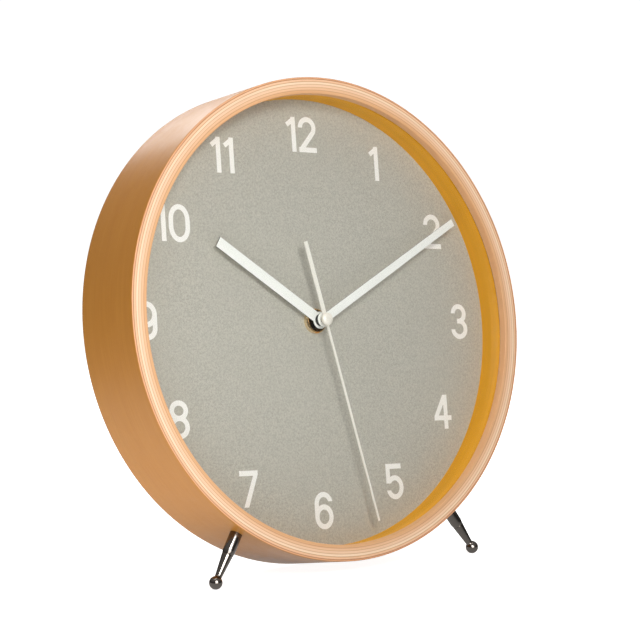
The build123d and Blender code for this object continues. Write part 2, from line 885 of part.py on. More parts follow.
def make_second_arbor():
    front, _ = hand_depths(second_level)
    return disc(second_arbor_radius, front - shaft_end_stand, pivot_end[centre_axis])


def make_third_wheel():
    at = third_axis
    body = wheel(third_teeth, second_module, third_layer, at, third_phase)
    body += pinion(third_leaves, third_module, centre_layer, at, 0)
    hub_back = third_layer + wheel_thickness
    return body + arbor(at, train_plate_front, pivot_end[at], centre_layer, hub_back)


def make_centre_wheel():
    body = wheel(centre_teeth, third_module, centre_layer, centre_axis, centre_phase)
    return body - disc(minute_arbor_radius + running_clearance, train_plate_back, third_layer)


# ---- motion work ----
def make_minute_arbor():
    front, _ = hand_depths(minute_level)
    back = centre_layer + wheel_thickness + pinion_lap
    body = disc(minute_arbor_radius, front - shaft_end_stand, back)
    body += pinion(cannon_leaves, motion_module, minute_layer, centre_axis, 0)
    return body - disc(second_arbor_radius + running_clearance, front - shaft_end_stand, back)


def make_minute_wheel():
    at = minute_axis
    body = wheel(minute_teeth, motion_module, minute_layer, at, minute_phase)
    body += pinion(minute_leaves, hour_module, hour_layer, at, 0)
    front = tray_floor - housing_floor / 2
    hub_back = minute_layer + wheel_thickness
    return body + arbor(at, front, train_plate_back, hour_layer, hub_back)


def make_hour_wheel():
    front, _ = hand_depths(hour_level)
    back = hour_layer + wheel_thickness
    body = wheel(hour_teeth, hour_module, hour_layer, centre_axis, hour_phase)
    body += disc(hour_tube_radius, front - shaft_end_stand, back)
    bore = minute_arbor_radius + running_clearance
    return body - disc(bore, front - shaft_end_stand, back)


# ---- setting knob ----
def make_setting_knob():
    knob_back = housing_back - part_gap
    knob_front = knob_back - knob_thickness
    knob = disc(knob_radius, knob_front, knob_back, setting_axis)
    for flute in range(knob_flutes):
        at = step(setting_axis, knob_radius, 360 * flute / knob_flutes)
        knob -= disc(knob_flute_radius, knob_front, knob_back, at)
    return knob + disc(knob_shaft_radius, tray_floor + part_gap, knob_front, setting_axis)


def make_setting_pinion():
    gear = pinion(setting_leaves, motion_module, minute_layer, setting_axis, setting_phase)
    return gear - disc(knob_shaft_radius, hour_layer, train_plate_back, setting_axis)


# ---- circuit ----
def make_circuit_board():
    return block(circuit_left, circuit_right, circuit_bottom, circuit_top, circuit_front, circuit_back)


def make_crystal():
    x = circuit_left + 1.5 * plate_post_radius + crystal_length / 2
    y = circuit_bottom + 2.5 * crystal_radius
    can = Rot(Y=90) * Cylinder(crystal_radius, crystal_length)
    return Pos(x + crystal_radius, y, -(circuit_back + crystal_radius)) * can


def make_chip():
    at = (circuit_right - 1.5 * chip_radius, (circuit_bottom + circuit_top) / 2)
    blob = disc(chip_radius, circuit_back, circuit_back + chip_height, at)
    return fillet(blob.faces().sort_by(Axis.Z)[0].edges(), chip_height / 2)


# ---- contacts ----
def make_contact_minus():
    wall = -inner_half
    inner = wall + contact_thickness
    leaf_right = cell_left
    leaf_left = leaf_right - contact_thickness
    low = bay_mid - spring_leaf_height / 2
    high = bay_mid + spring_leaf_height / 2
    body = block(wall, inner, low, tab_top, contact_front, contact_back)
    body += block(wall, leaf_right, low - contact_thickness, low, contact_front, contact_back)
    body += block(leaf_left, leaf_right, low, high, contact_front, contact_back)
    body += block(wall, inner, tab_bottom, tab_top, circuit_back, contact_back)
    tab_right = circuit_left + contact_width / 2
    tab_back = circuit_back + contact_thickness
    return body + block(wall, tab_right, tab_bottom, tab_top, circuit_back, tab_back)


def make_contact_plus():
    wall = inner_half
    inner = wall - contact_thickness
    low = bay_mid - spring_leaf_height / 2
    shelf = bay_wall_top
    riser = circuit_left + 2 * contact_width / 3
    body = block(inner, wall, low, shelf + contact_thickness, contact_front, contact_back)
    body += block(riser, wall, shelf, shelf + contact_thickness, contact_front, contact_back)
    body += block(riser, riser + contact_thickness, shelf, tab_top, contact_front, contact_back)
    body += block(riser, riser + contact_thickness, tab_bottom, tab_top, circuit_back, contact_back)
    body += cell_round(dimple_radius, cell_right, inner)
    pad_low, pad_high = bay_mid - dimple_radius, bay_mid + dimple_radius
    return body + block(inner, wall, pad_low, pad_high, cell_depth - dimple_radius, contact_back)


# ---- cell ----
def cell_round(radius, left, right):
    return Pos((left + right) / 2, bay_mid, -cell_depth) * Rot(Y=90) * Cylinder(radius, right - left)


def make_cell():
    can = cell_round(cell_radius, cell_left, button_shoulder)
    return can + cell_round(button_radius, button_shoulder, cell_right)


def make_cell_sleeve():
    left = cell_left + sleeve_end_bare
    right = button_shoulder - sleeve_end_bare
    return cell_round(cell_outer_radius, left, right) - cell_round(cell_radius, left, right)


# ---- every node; those on the dial's axis turn with the dial ----
drum_nodes = {
    "case_ring": make_case_ring,
    "lens_glass": make_glass,
    "side_liner": make_liner,
    "retaining_hoop": make_retaining_hoop,
    "leg_left": lambda: make_leg(-1),
    "leg_right": lambda: make_leg(1),
    "leg_studs": lambda: [make_stud(side) for side in (-1, 1)],
}
dial_nodes = {
    "dial_sheet": make_dial_sheet,
    "dial_board": make_dial_board,
    "numerals": lambda: [figure for hour in range(1, 13) for figure in numeral(hour)],
    "hour_hand": make_hour_hand,
    "hour_collet": make_hour_collet,
    "minute_hand": make_minute_hand,
    "minute_collet": make_minute_collet,
    "second_hand": make_second_hand,
    "second_boss": make_second_boss,
    "second_collet": make_second_collet,
    "shaft_bush": make_bush,
    "shaft_nut": make_nut,
    "gasket": make_gasket,
    "movement_tray": make_movement_tray,
    "movement_cover": make_movement_cover,
    "train_plate": make_train_plate,
    "stator_plate": make_stator,
    "coil_core": make_coil_core,
    "coil_bobbin": make_bobbin,
    "coil_winding": make_winding,
    "rotor_magnet": make_rotor_magnet,
    "rotor_pinion": make_rotor_pinion,
    "intermediate_wheel": make_intermediate_wheel,
    "second_wheel": make_second_wheel,
    "second_arbor": make_second_arbor,
    "third_wheel": make_third_wheel,
    "centre_wheel": make_centre_wheel,
    "minute_arbor": make_minute_arbor,
    "minute_wheel": make_minute_wheel,
    "hour_wheel": make_hour_wheel,
    "setting_knob": make_setting_knob,
    "setting_pinion": make_setting_pinion,
    "circuit_board": make_circuit_board,
    "quartz_crystal": make_crystal,
    "circuit_chip": make_chip,
    "contact_minus": make_contact_minus,
    "contact_plus": make_contact_plus,
    "cell": make_cell,
    "cell_sleeve": make_cell_sleeve,
}


def gathered(shape):
    """One solid, or a compound of a node's separate solids."""
    if isinstance(shape, list):
        return Compound(children=[solid for piece in shape for solid in piece.solids()])
    return shape


os.makedirs("parts", exist_ok=True)
for name, make in drum_nodes.items():
    export_step(standing * gathered(make()), f"parts/{name}.step")
for name, make in dial_nodes.items():
    export_step(standing * turned * gathered(make()), f"parts/{name}.step")
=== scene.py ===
"""The looks of a bentwood mantel clock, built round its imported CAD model.

Every piece is in metres in the model's own frame. Most of the clock is turned or lies square to
its drum, so pieces are drawn in the drum's frame, in millimetres: right, rearward depth from the
front face, and up the dial. The drum leans back, and DrumFrame carries that frame into the
model's.
"""
import json
import logging
from dataclasses import dataclass
from enum import Enum
from math import atan2, cos, pi, radians, sin
from typing import Sequence, Union

import bpy
import numpy as np
from mathutils import Matrix, Vector


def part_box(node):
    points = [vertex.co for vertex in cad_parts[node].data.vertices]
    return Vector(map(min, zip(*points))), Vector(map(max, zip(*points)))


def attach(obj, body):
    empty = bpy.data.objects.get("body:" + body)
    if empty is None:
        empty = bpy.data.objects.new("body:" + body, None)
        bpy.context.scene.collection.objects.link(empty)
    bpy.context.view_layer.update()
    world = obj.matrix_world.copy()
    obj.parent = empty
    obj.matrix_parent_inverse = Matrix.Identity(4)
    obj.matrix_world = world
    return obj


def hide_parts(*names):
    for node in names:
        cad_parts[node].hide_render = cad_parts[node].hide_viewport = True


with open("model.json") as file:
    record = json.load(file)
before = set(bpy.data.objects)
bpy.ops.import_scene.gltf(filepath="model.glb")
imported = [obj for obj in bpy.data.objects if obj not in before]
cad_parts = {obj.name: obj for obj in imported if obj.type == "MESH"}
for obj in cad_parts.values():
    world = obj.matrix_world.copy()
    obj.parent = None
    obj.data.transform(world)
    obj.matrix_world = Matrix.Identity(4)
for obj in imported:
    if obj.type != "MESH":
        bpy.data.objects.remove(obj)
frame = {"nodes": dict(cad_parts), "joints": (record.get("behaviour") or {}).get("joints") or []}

MM = 0.001
FULL_TURN = 2 * pi
RING_STEPS = 360
NUT_STEPS = 144
SMALL_RING_STEPS = 96
SHARP_ANGLE = radians(38)
EASED_ANGLE = radians(50)
DIAL_TURN = radians(2.5)  # the dial, hands and movement sit this far clockwise in the drum
SEATED = 0.02  # mm that an added piece sinks into what carries it

Colour = tuple[float, float, float]
Socket = bpy.types.NodeSocket
Feed = Union[Socket, float, tuple]
Faces = list[list[int]]
Rows = tuple[tuple[float, float], ...]
Material = bpy.types.Material
Piece = bpy.types.Object

log = logging.getLogger("mantel_clock")


# ---- places and surfaces


@dataclass(frozen=True)
class DrumFrame:
    """The drum's frame: its front face's centre in metres, its lean, depth and radius."""

    centre: Vector
    lean: float
    depth: float
    radius: float

    @classmethod
    def read(cls, rim_round: float = 0.4) -> "DrumFrame":
        """Find the frame from the hand's joint and the case's box.

        Args:
            rim_round: the rounding of the drum's outer edges, in millimetres.

        Returns:
            The drum's frame.
        """
        axis = Vector(frame["joints"][0]["axis"])
        lean = atan2(-axis.z, axis.y)
        low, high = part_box("case_ring")
        size = (high - low) / MM
        radius = size.x / 2
        inner = (size.y / 2 - rim_round - (radius - rim_round) * sin(lean)) / cos(lean)
        depth = 2 * (inner + rim_round)
        centre = (low + high) / 2 - axis * (depth / 2 * MM)
        return cls(centre, lean, depth, radius)

    @property
    def axes(self) -> np.ndarray:
        """The right, rearward and upward directions, one a row."""
        c, s = cos(self.lean), sin(self.lean)
        return np.array([(1.0, 0.0, 0.0), (0.0, c, -s), (0.0, s, c)])

    def world(self, points: np.ndarray) -> np.ndarray:
        """Carry drum-frame millimetres (right, depth, up) into the model's metres."""
        return np.asarray(self.centre) + points @ self.axes * MM

    def local(self, place: Vector) -> np.ndarray:
        """Carry a place in metres into drum-frame millimetres."""
        return self.axes @ (np.asarray(place) - np.asarray(self.centre)) / MM

    def rear_face(self, node: str) -> float:
        """Find how far behind the front face a CAD node reaches.

        Args:
            node: the CAD node's name.

        Returns:
            The depth, in millimetres.
        """
        mesh = frame["nodes"][node].data
        flat = np.empty(len(mesh.vertices) * 3)
        mesh.vertices.foreach_get("co", flat)
        return float(((flat.reshape(-1, 3) - np.asarray(self.centre)) @ self.axes[1]).max() / MM)

    def middle(self, node: str) -> np.ndarray:
        """The middle of a CAD node's box, in drum-frame millimetres."""
        low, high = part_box(node)
        return self.local((low + high) / 2)


drum = DrumFrame.read()


class Way(Enum):
    """The direction that a turned piece's heights run in, in the drum's frame."""

    REARWARD = (0.0, 1.0, 0.0)
    FORWARD = (0.0, -1.0, 0.0)


def rounded(
    points: Sequence[tuple[float, float]], radii: Sequence[float], steps: int = 6
) -> np.ndarray:
    """Round the corners of a closed outline with arcs that touch both of its sides.

    Args:
        points: the corners in order, as (radius, height) or (x, y).
        radii: each corner's rounding; nought leaves it sharp.
        steps: points on each arc, less one.

    Returns:
        The rounded outline, one point a row.
    """
    corners = np.asarray(points, float)
    rows = []
    sides = (corners, np.roll(corners, 1, 0), np.roll(corners, -1, 0), radii)
    for corner, before, after, radius in zip(*sides):
        if radius <= 0:
            rows.append(corner[None])
            continue
        towards = [(end - corner) / np.linalg.norm(end - corner) for end in (before, after)]
        half = np.arccos(np.clip(towards[0] @ towards[1], -1, 1)) / 2
        bisector = towards[0] + towards[1]
        hub = corner + bisector / np.linalg.norm(bisector) * radius / np.sin(half)
        start, end = (corner + side * radius / np.tan(half) - hub for side in towards)
        first = np.arctan2(start[1], start[0])
        sweep = (np.arctan2(end[1], end[0]) - first + pi) % FULL_TURN - pi
        angles = first + sweep * np.linspace(0, 1, steps + 1)
        rows.append(hub + radius * np.column_stack([np.cos(angles), np.sin(angles)]))
    return np.vstack(rows)


def outward(points: np.ndarray, faces: Faces) -> Faces:
    """Turn a closed mesh's faces round if they look inwards, judged by its signed volume.

    Args:
        points: the mesh's points.
        faces: each face's point numbers.

    Returns:
        The faces, looking outwards.
    """
    fans = [(f[0], f[i], f[i + 1]) for f in faces for i in range(1, len(f) - 1)]
    a, b, c = (points[np.array(fans)] - points.mean(0)).transpose(1, 0, 2)
    volume = np.einsum("ij,ij->", a, np.cross(b, c))
    return faces if volume > 0 else [face[::-1] for face in faces]


def show(name: str, data: bpy.types.ID) -> Piece:
    """Put a mesh, lamp or camera into the scene.

    Args:
        name: the object's name.
        data: the mesh, lamp or camera.

    Returns:
        The object.
    """
    made = bpy.data.objects.new(name, data)
    bpy.context.scene.collection.objects.link(made)
    return made


def piece_from(name: str, points: np.ndarray, faces: Faces, material: Material) -> Piece:
    """Make a closed piece whose object sits at the origin.

    Args:
        name: the piece's name.
        points: its points, in metres.
        faces: each face's point numbers.
        material: what it is made of.

    Returns:
        The piece.
    """
    mesh = bpy.data.meshes.new(name)
    mesh.from_pydata(points.tolist(), [], outward(points, faces))
    mesh.shade_smooth()
    mesh.set_sharp_from_angle(angle=SHARP_ANGLE)
    mesh.materials.append(material)
    return show(name, mesh)


def band_faces(rings: int, steps: int, closed: bool) -> Faces:
    """Make quads between neighbouring rings of points.

    Args:
        rings: how many rings there are.
        steps: points in each ring.
        closed: whether the last ring is joined to the first.

    Returns:
        The quads' point numbers.
    """
    row = np.arange(rings if closed else rings - 1)[:, None]
    column = np.arange(steps)[None]
    here, after = row * steps, (row + 1) % rings * steps
    beside = (column + 1) % steps
    corners = (here + column, here + beside, after + beside, after + column)
    return np.stack(corners, axis=-1).reshape(-1, 4).tolist()


def turned(
    name: str, profile: np.ndarray, hub: Sequence[float], axis: Sequence[float],
    material: Material, steps: int = SMALL_RING_STEPS, ring: bool = False,
) -> Piece:
    """Carry a profile round an axis: hub + height * axis + radius * (cos u * side + sin u * other).

    A ring's profile is closed and stays clear of the axis. Any other profile runs from one end's
    rim to the other's, and a point on the axis closes each end.

    Args:
        name: the piece's name.
        profile: (radius, height) rows, in millimetres.
        hub: the axis's start, in the drum's frame.
        axis: the axis's direction, of length one, in the drum's frame.
        material: what it is made of.
        steps: points round the circle.
        ring: whether it is a ring.

    Returns:
        The piece.
    """
    hub, axis = np.asarray(hub, float), np.asarray(axis, float)
    side = np.cross(axis, (0.0, 0.0, 1.0) if abs(axis[2]) < 0.9 else (1.0, 0.0, 0.0))
    side /= np.linalg.norm(side)
    turn = np.linspace(0, FULL_TURN, steps, endpoint=False)[None, :, None]
    radius, height = profile[:, :1, None], profile[:, 1:, None]
    circle = np.cos(turn) * side + np.sin(turn) * np.cross(axis, side)
    points = drum.world((hub + height * axis + radius * circle).reshape(-1, 3))
    faces = band_faces(len(profile), steps, ring)
    if not ring:
        column = np.arange(steps)
        beside = (column + 1) % steps
        first, rim = len(points), len(points) - steps
        front_cap = np.column_stack([np.full(steps, first), beside, column])
        rear_cap = np.column_stack([np.full(steps, first + 1), rim + column, rim + beside])
        faces += front_cap.tolist() + rear_cap.tolist()
        points = np.vstack([points, drum.world(hub + profile[[0, -1], 1:] * axis)])
    return piece_from(name, points, faces, material)


def prism(
    name: str, outline: np.ndarray, front: float, rear: float, material: Material, bevel: float
) -> Piece:
    """Make a flat piece: an outline carried straight back, with its edges eased.

    Args:
        name: the piece's name.
        outline: (right, up) rows, in millimetres.
        front: the nearer face's depth, in millimetres.
        rear: the further face's depth.
        material: what it is made of.
        bevel: how wide the edges are eased, in millimetres.

    Returns:
        The piece.
    """
    count = len(outline)
    layers = [
        np.column_stack([outline[:, 0], np.full(count, depth), outline[:, 1]])
        for depth in (front, rear)
    ]
    ring = np.arange(count)
    beside = (ring + 1) % count
    sides = np.column_stack([ring, beside, beside + count, ring + count]).tolist()
    faces = [ring[::-1].tolist(), (ring + count).tolist()] + sides
    made = piece_from(name, drum.world(np.vstack(layers)), faces, material)
    ease = made.modifiers.new("eased_edges", "BEVEL")
    ease.width, ease.segments = bevel * MM, 3
    ease.limit_method, ease.angle_limit = "ANGLE", EASED_ANGLE
    return made


def box_corners(wide: float, tall: float) -> list[tuple[float, float]]:
    """The corners of a rectangle about its middle, from half its width and half its height."""
    return [(-wide, -tall), (wide, -tall), (wide, tall), (-wide, tall)]


# ---- shader trees


def rgba(colour: Feed) -> Feed:
    """A colour with its alpha; a socket passes through."""
    return colour if isinstance(colour, Socket) or len(colour) == 4 else (*colour, 1.0)


def shade(colour: Colour, factor: float) -> Colour:
    """A lighter or darker version of a colour."""
    return tuple(min(1.0, part * factor) for part in colour)


def even(size: float) -> tuple[float, float, float]:
    """The same size along all three axes."""
    return (size, size, size)


class Tree:
    """A node tree that adds a node and feeds it in one call."""

    def __init__(self, tree: bpy.types.NodeTree) -> None:
        """Work on this tree."""
        self.tree = tree

    def feed(self, node: bpy.types.Node, feeds: dict) -> None:
        """Feed a node's inputs.

        Args:
            node: the node.
            feeds: what goes into its inputs, by name or number: a socket or a plain value.
        """
        for key, value in feeds.items():
            if isinstance(value, Socket):
                self.tree.links.new(value, node.inputs[key])
            else:
                node.inputs[key].default_value = value

    def add(self, kind: str, feeds: dict | None = None, **settings: object) -> bpy.types.Node:
        """Add a shader node.

        Args:
            kind: the node's type, less its ShaderNode prefix.
            feeds: what goes into its inputs, as feed takes it.
            settings: the node's own settings.

        Returns:
            The node.
        """
        node = self.tree.nodes.new("ShaderNode" + kind)
        for key, value in settings.items():
            setattr(node, key, value)
        self.feed(node, feeds or {})
        return node

    def math(self, operation: str, *values: Feed) -> Socket:
        """A sum on up to three numbers."""
        return self.add("Math", dict(enumerate(values)), operation=operation).outputs[0]

    def times(self, first: Feed, second: Feed) -> Socket:
        """Two numbers multiplied."""
        return self.math("MULTIPLY", first, second)

    def plus(self, first: Feed, second: Feed) -> Socket:
        """Two numbers added."""
        return self.math("ADD", first, second)

    def less(self, first: Feed, second: Feed) -> Socket:
        """The second number taken from the first."""
        return self.math("SUBTRACT", first, second)

    def dot(self, first: Feed, second: Feed) -> Socket:
        """How far two directions agree, from minus one to one."""
        feeds = {0: first, 1: second}
        return self.add("VectorMath", feeds, operation="DOT_PRODUCT").outputs["Value"]

    def split(self, vector: Socket) -> Sequence[Socket]:
        """A vector's three numbers."""
        return self.add("SeparateXYZ", {0: vector}).outputs

    def join(self, *numbers: Feed) -> Socket:
        """A vector from up to three numbers."""
        return self.add("CombineXYZ", dict(enumerate(numbers))).outputs[0]

    def fit(
        self, value: Feed, low: float, high: float, to_low: float = 0.0, to_high: float = 1.0
    ) -> Socket:
        """Stretch a range of numbers to another range, and hold it inside that.

        Args:
            value: the number.
            low: where the first range starts.
            high: where the first range ends.
            to_low: what low becomes.
            to_high: what high becomes.

        Returns:
            The stretched number.
        """
        ends = {"From Min": low, "From Max": high, "To Min": to_low, "To Max": to_high}
        return self.add("MapRange", {"Value": value, **ends}, clamp=True).outputs[0]

    def mix(self, share: Feed, first: Feed, second: Feed, blend_type: str = "MIX") -> Socket:
        """Mix two colours by a share of the second."""
        feeds = {0: share, 6: rgba(first), 7: rgba(second)}
        return self.add("Mix", feeds, data_type="RGBA", blend_type=blend_type).outputs[2]

    def tint(
        self, mask: Socket, most: float, first: Feed, second: Feed, blend_type: str = "MIX"
    ) -> Socket:
        """Mix in a second colour where a mask says so, by this share at the most."""
        return self.mix(self.times(mask, most), first, second, blend_type)

    def ramp(self, value: Feed, stops: Sequence[tuple[float, Colour]]) -> Socket:
        """Give a colour for each number from nought to one, by straight steps between stops.

        Args:
            value: the number.
            stops: (place, colour) rows, in order.

        Returns:
            The colour.
        """
        node = self.add("ValToRGB", {0: value})
        elements = node.color_ramp.elements
        for element, (place, colour) in zip(elements, (stops[0], stops[-1])):
            element.position, element.color = place, rgba(colour)
        for place, colour in stops[1:-1]:
            elements.new(place).color = rgba(colour)
        return node.outputs[0]

    def noise(
        self, vector: Socket, size: tuple[float, float, float], detail: float = 3.0,
        seed: float = 0.0,
    ) -> Socket:
        """Make soft noise.

        Args:
            vector: where a point is.
            size: how large the patches are along each axis, in the vector's own units.
            detail: how many finer layers it has.
            seed: where in the noise it starts.

        Returns:
            The noise, about a half on average.
        """
        feeds = {
            "Vector": vector, "Location": (seed, seed / 2, -seed),
            "Scale": tuple(1 / part for part in size),
        }
        return self.unit_noise(self.add("Mapping", feeds).outputs[0], detail)

    def unit_noise(self, vector: Socket, detail: float) -> Socket:
        """Soft noise whose patches measure about one unit of the vector."""
        feeds = {"Vector": vector, "Scale": 1.0, "Detail": detail}
        return self.add("TexNoise", feeds).outputs[0]

    def drum_place(self) -> Socket:
        """Where a point is in the drum's frame, in millimetres: right, depth and up."""
        feeds = {
            "Vector": self.add("TexCoord").outputs["Object"], "Location": tuple(drum.centre),
            "Rotation": (-drum.lean, 0.0, 0.0), "Scale": even(MM),
        }
        return self.add("Mapping", feeds, vector_type="TEXTURE").outputs[0]

    def moved(self, vector: Socket, place: Sequence[float]) -> Socket:
        """The same vector counted from another place."""
        location = tuple(-float(part) for part in place)
        return self.add("Mapping", {"Vector": vector, "Location": location}).outputs[0]

    def group(self, built: bpy.types.NodeTree, **feeds: Feed) -> dict[str, Socket]:
        """Place a shader group.

        Args:
            built: the group's tree.
            feeds: what goes into its inputs.

        Returns:
            Its outputs by name.
        """
        node = self.add("Group", {}, node_tree=built)
        self.feed(node, feeds)
        return {output.name: output for output in node.outputs}

    def mask(self, built: bpy.types.NodeTree, place: Socket, **feeds: Feed) -> Socket:
        """The mask that a shader group gives at a place."""
        return self.group(built, Place=place, **feeds)["Mask"]

    def bump(self, height: Feed, depth_mm: float, strength: float = 1.0) -> Socket:
        """A normal from a height of nought to one that stands for depth_mm."""
        feeds = {"Height": height, "Distance": depth_mm * MM, "Strength": strength}
        return self.add("Bump", feeds).outputs[0]


def bare_tree(owner: bpy.types.ID) -> Tree:
    """Clear the nodes of a material or a world.

    Args:
        owner: the material or world.

    Returns:
        Its empty tree.
    """
    owner.use_nodes = True
    owner.node_tree.nodes.clear()
    return Tree(owner.node_tree)


VECTOR, NUMBER = "NodeSocketVector", "NodeSocketFloat"
PLACE_INPUT = {"Place": (VECTOR, None)}


class Effect:
    """An effect that several finishes share: a shader group of masks and heights."""

    name: str
    inputs: dict[str, tuple[str, float | None]] = PLACE_INPUT
    outputs: tuple[str, ...] = ("Mask",)

    def build(self) -> bpy.types.NodeTree:
        """Build the group once, and give its tree."""
        tree = bpy.data.node_groups.new(self.name, "ShaderNodeTree")
        for key, (kind, value) in self.inputs.items():
            socket = tree.interface.new_socket(key, in_out="INPUT", socket_type=kind)
            if value is not None:
                socket.default_value = value
        for key in self.outputs:
            tree.interface.new_socket(key, in_out="OUTPUT", socket_type=NUMBER)
        entry, leave = (tree.nodes.new(f"NodeGroup{end}") for end in ("Input", "Output"))
        given = {socket.name: socket for socket in entry.outputs if socket.name}
        for key, socket in zip(self.outputs, self.fill(Tree(tree), given)):
            tree.links.new(socket, leave.inputs[key])
        return tree

    def fill(self, tree: Tree, given: dict[str, Socket]) -> Sequence[Socket]:
        """Fill the group.

        Args:
            tree: the group's tree.
            given: its inputs by name.

        Returns:
            A socket for each output, in their order.
        """
        raise NotImplementedError


class RoundPlace(Effect):
    """Where a place is about a rearward axis: radius, arc length round it, and depth."""

    name = "round_place"
    inputs = {**PLACE_INPUT, "Reach": (NUMBER, 100.0)}
    outputs = ("Radius", "Around", "Depth")

    def fill(self, tree: Tree, given: dict[str, Socket]) -> Sequence[Socket]:
        """The arc length is the angle from straight up, times the reach."""
        x, y, z = tree.split(given["Place"])
        radius = tree.math("SQRT", tree.plus(tree.times(x, x), tree.times(z, z)))
        return radius, tree.times(tree.math("ARCTAN2", x, z), given["Reach"]), y


class Grain(Effect):
    """Wood grain: fine streaks, broad figure and short open pores, drawn out along the grain."""

    name = "grain"
    inputs = {key: (NUMBER, 0.0) for key in ("Along", "Across", "Layer")}
    outputs = ("Streak", "Figure", "Pore")

    def fill(self, tree: Tree, given: dict[str, Socket]) -> Sequence[Socket]:
        """Each is noise stretched many times further along the grain than across it."""
        vector = tree.join(given["Along"], given["Across"], given["Layer"])
        fine = tree.noise(vector, (26.0, 0.30, 1.0), 4.0, 3.0)
        broad = tree.noise(vector, (70.0, 3.6, 2.0), 2.0, 11.0)
        pores = tree.noise(vector, (1.7, 0.13, 1.0), 1.0, 23.0)
        return tree.fit(fine, 0.3, 0.7), tree.fit(broad, 0.32, 0.68), tree.fit(pores, 0.66, 0.78)


class Speckle(Effect):
    """Two kinds of fine speckle, for sprayed, printed and spark-eroded faces."""

    name = "speckle"
    inputs = {**PLACE_INPUT, "Fineness": (NUMBER, 4.0)}
    outputs = ("Mask", "Cells")

    def fill(self, tree: Tree, given: dict[str, Socket]) -> Sequence[Socket]:
        """Soft noise, and the distance to scattered points."""
        feeds = {0: given["Place"], "Scale": given["Fineness"]}
        scaled = tree.add("VectorMath", feeds, operation="SCALE").outputs[0]
        cells = tree.add("TexVoronoi", {"Vector": scaled, "Scale": 0.8}).outputs["Distance"]
        return tree.fit(tree.unit_noise(scaled, 2.0), 0.3, 0.7), tree.fit(cells, 0.0, 0.8)


class EdgeWear(Effect):
    """Wear on edges and corners, broken up by noise."""

    name = "edge_wear"
    inputs = {**PLACE_INPUT, "Radius": (NUMBER, 0.4 * MM)}

    def fill(self, tree: Tree, given: dict[str, Socket]) -> Sequence[Socket]:
        """An edge is where a rounded-off normal leaves the true one."""
        eased = tree.add("Bevel", {"Radius": given["Radius"]}, samples=4).outputs[0]
        same = tree.dot(eased, tree.add("NewGeometry").outputs["Normal"])
        broken = tree.fit(tree.noise(given["Place"], even(1.3), 4.0, 5.0), 0.35, 0.62)
        return (tree.times(tree.fit(tree.less(1.0, same), 0.02, 0.22), broken),)


class Dust(Effect):
    """Fine dust on what faces up, in soft drifts."""

    name = "dust"

    def fill(self, tree: Tree, given: dict[str, Socket]) -> Sequence[Socket]:
        """The upward share of the normal, times broad drifts, times fine grit."""
        up = tree.split(tree.add("NewGeometry").outputs["Normal"])[2]
        drift = tree.fit(tree.noise(given["Place"], even(9.0), 5.0, 7.0), 0.35, 0.75)
        grit = tree.fit(tree.noise(given["Place"], even(0.5), 1.0, 9.0), 0.35, 0.7, 0.4, 1.0)
        return (tree.times(tree.times(tree.fit(up, 0.35, 1.0), drift), grit),)


class Turning(Effect):
    """Lathe lines: fine grooves of uneven depth at even steps along a distance."""

    name = "turning"
    inputs = {"Distance": (NUMBER, 0.0), "Pitch": (NUMBER, 0.2)}
    outputs = ("Height",)

    def fill(self, tree: Tree, given: dict[str, Socket]) -> Sequence[Socket]:
        """A sine of the distance, one wave a pitch, times noise along the distance."""
        turns = tree.times(given["Distance"], tree.math("DIVIDE", FULL_TURN, given["Pitch"]))
        line = tree.fit(tree.math("SINE", turns), -1.0, 1.0)
        uneven = tree.unit_noise(tree.join(tree.times(given["Distance"], 7.0)), 3.0)
        return (tree.times(line, tree.fit(uneven, 0.3, 0.7)),)


class Smudge(Effect):
    """Broad, faint handling marks that change how sharply a face shines."""

    name = "smudge"

    def fill(self, tree: Tree, given: dict[str, Socket]) -> Sequence[Socket]:
        """Two sizes of noise, mostly the broader."""
        wide = tree.times(tree.noise(given["Place"], even(24.0), 6.0, 13.0), 0.7)
        near = tree.times(tree.noise(given["Place"], even(3.0), 3.0, 17.0), 0.3)
        return (tree.fit(tree.plus(wide, near), 0.35, 0.65),)


ROUND_PLACE, GRAIN, SPECKLE, EDGE_WEAR, DUST, TURNING, SMUDGE = (
    effect().build() for effect in (RoundPlace, Grain, Speckle, EdgeWear, Dust, Turning, Smudge)
)


# ---- finishes


@dataclass(frozen=True)
class Finish:
    """A finish: its name, its main colour and how rough it is at its smoothest and dullest."""

    name: str
    colour: Colour
    smooth: float = 0.4
    dull: float = 0.55

    def make(self) -> Material:
        """Build the material once, and give it."""
        made = bpy.data.materials.new(self.name)
        tree = bare_tree(made)
        tree.add("OutputMaterial", {"Surface": self.paint(tree, tree.drum_place())})
        return made

    def paint(self, tree: Tree, place: Socket) -> Socket:
        """Build the surface from a place in the drum's frame.

        Args:
            tree: the material's tree.
            place: where a point is, in millimetres.

        Returns:
            The shader's socket.
        """
        raise NotImplementedError


@dataclass(frozen=True)
class Opaque(Finish):
    """A finish with a relief: how deep it is, in millimetres, and how much of it shows."""

    relief_depth: float = 0.02
    relief_share: float = 0.5

    def surface(
        self, tree: Tree, tone: Socket, dullness: Feed, relief: Feed,
        plain: dict[str, float] | None = None,
    ) -> Socket:
        """Build the shader.

        Args:
            tree: the material's tree.
            tone: the colour.
            dullness: nought where the face is smoothest and one where it is dullest.
            relief: a height of nought to one.
            plain: numbers that are the same all over the face, by the shader's input.

        Returns:
            The shader's socket.
        """
        feeds = {
            "Base Color": tone, "Roughness": tree.fit(dullness, 0.0, 1.0, self.smooth, self.dull),
            "Normal": tree.bump(relief, self.relief_depth, self.relief_share), **(plain or {}),
        }
        return tree.add("BsdfPrincipled", feeds).outputs[0]


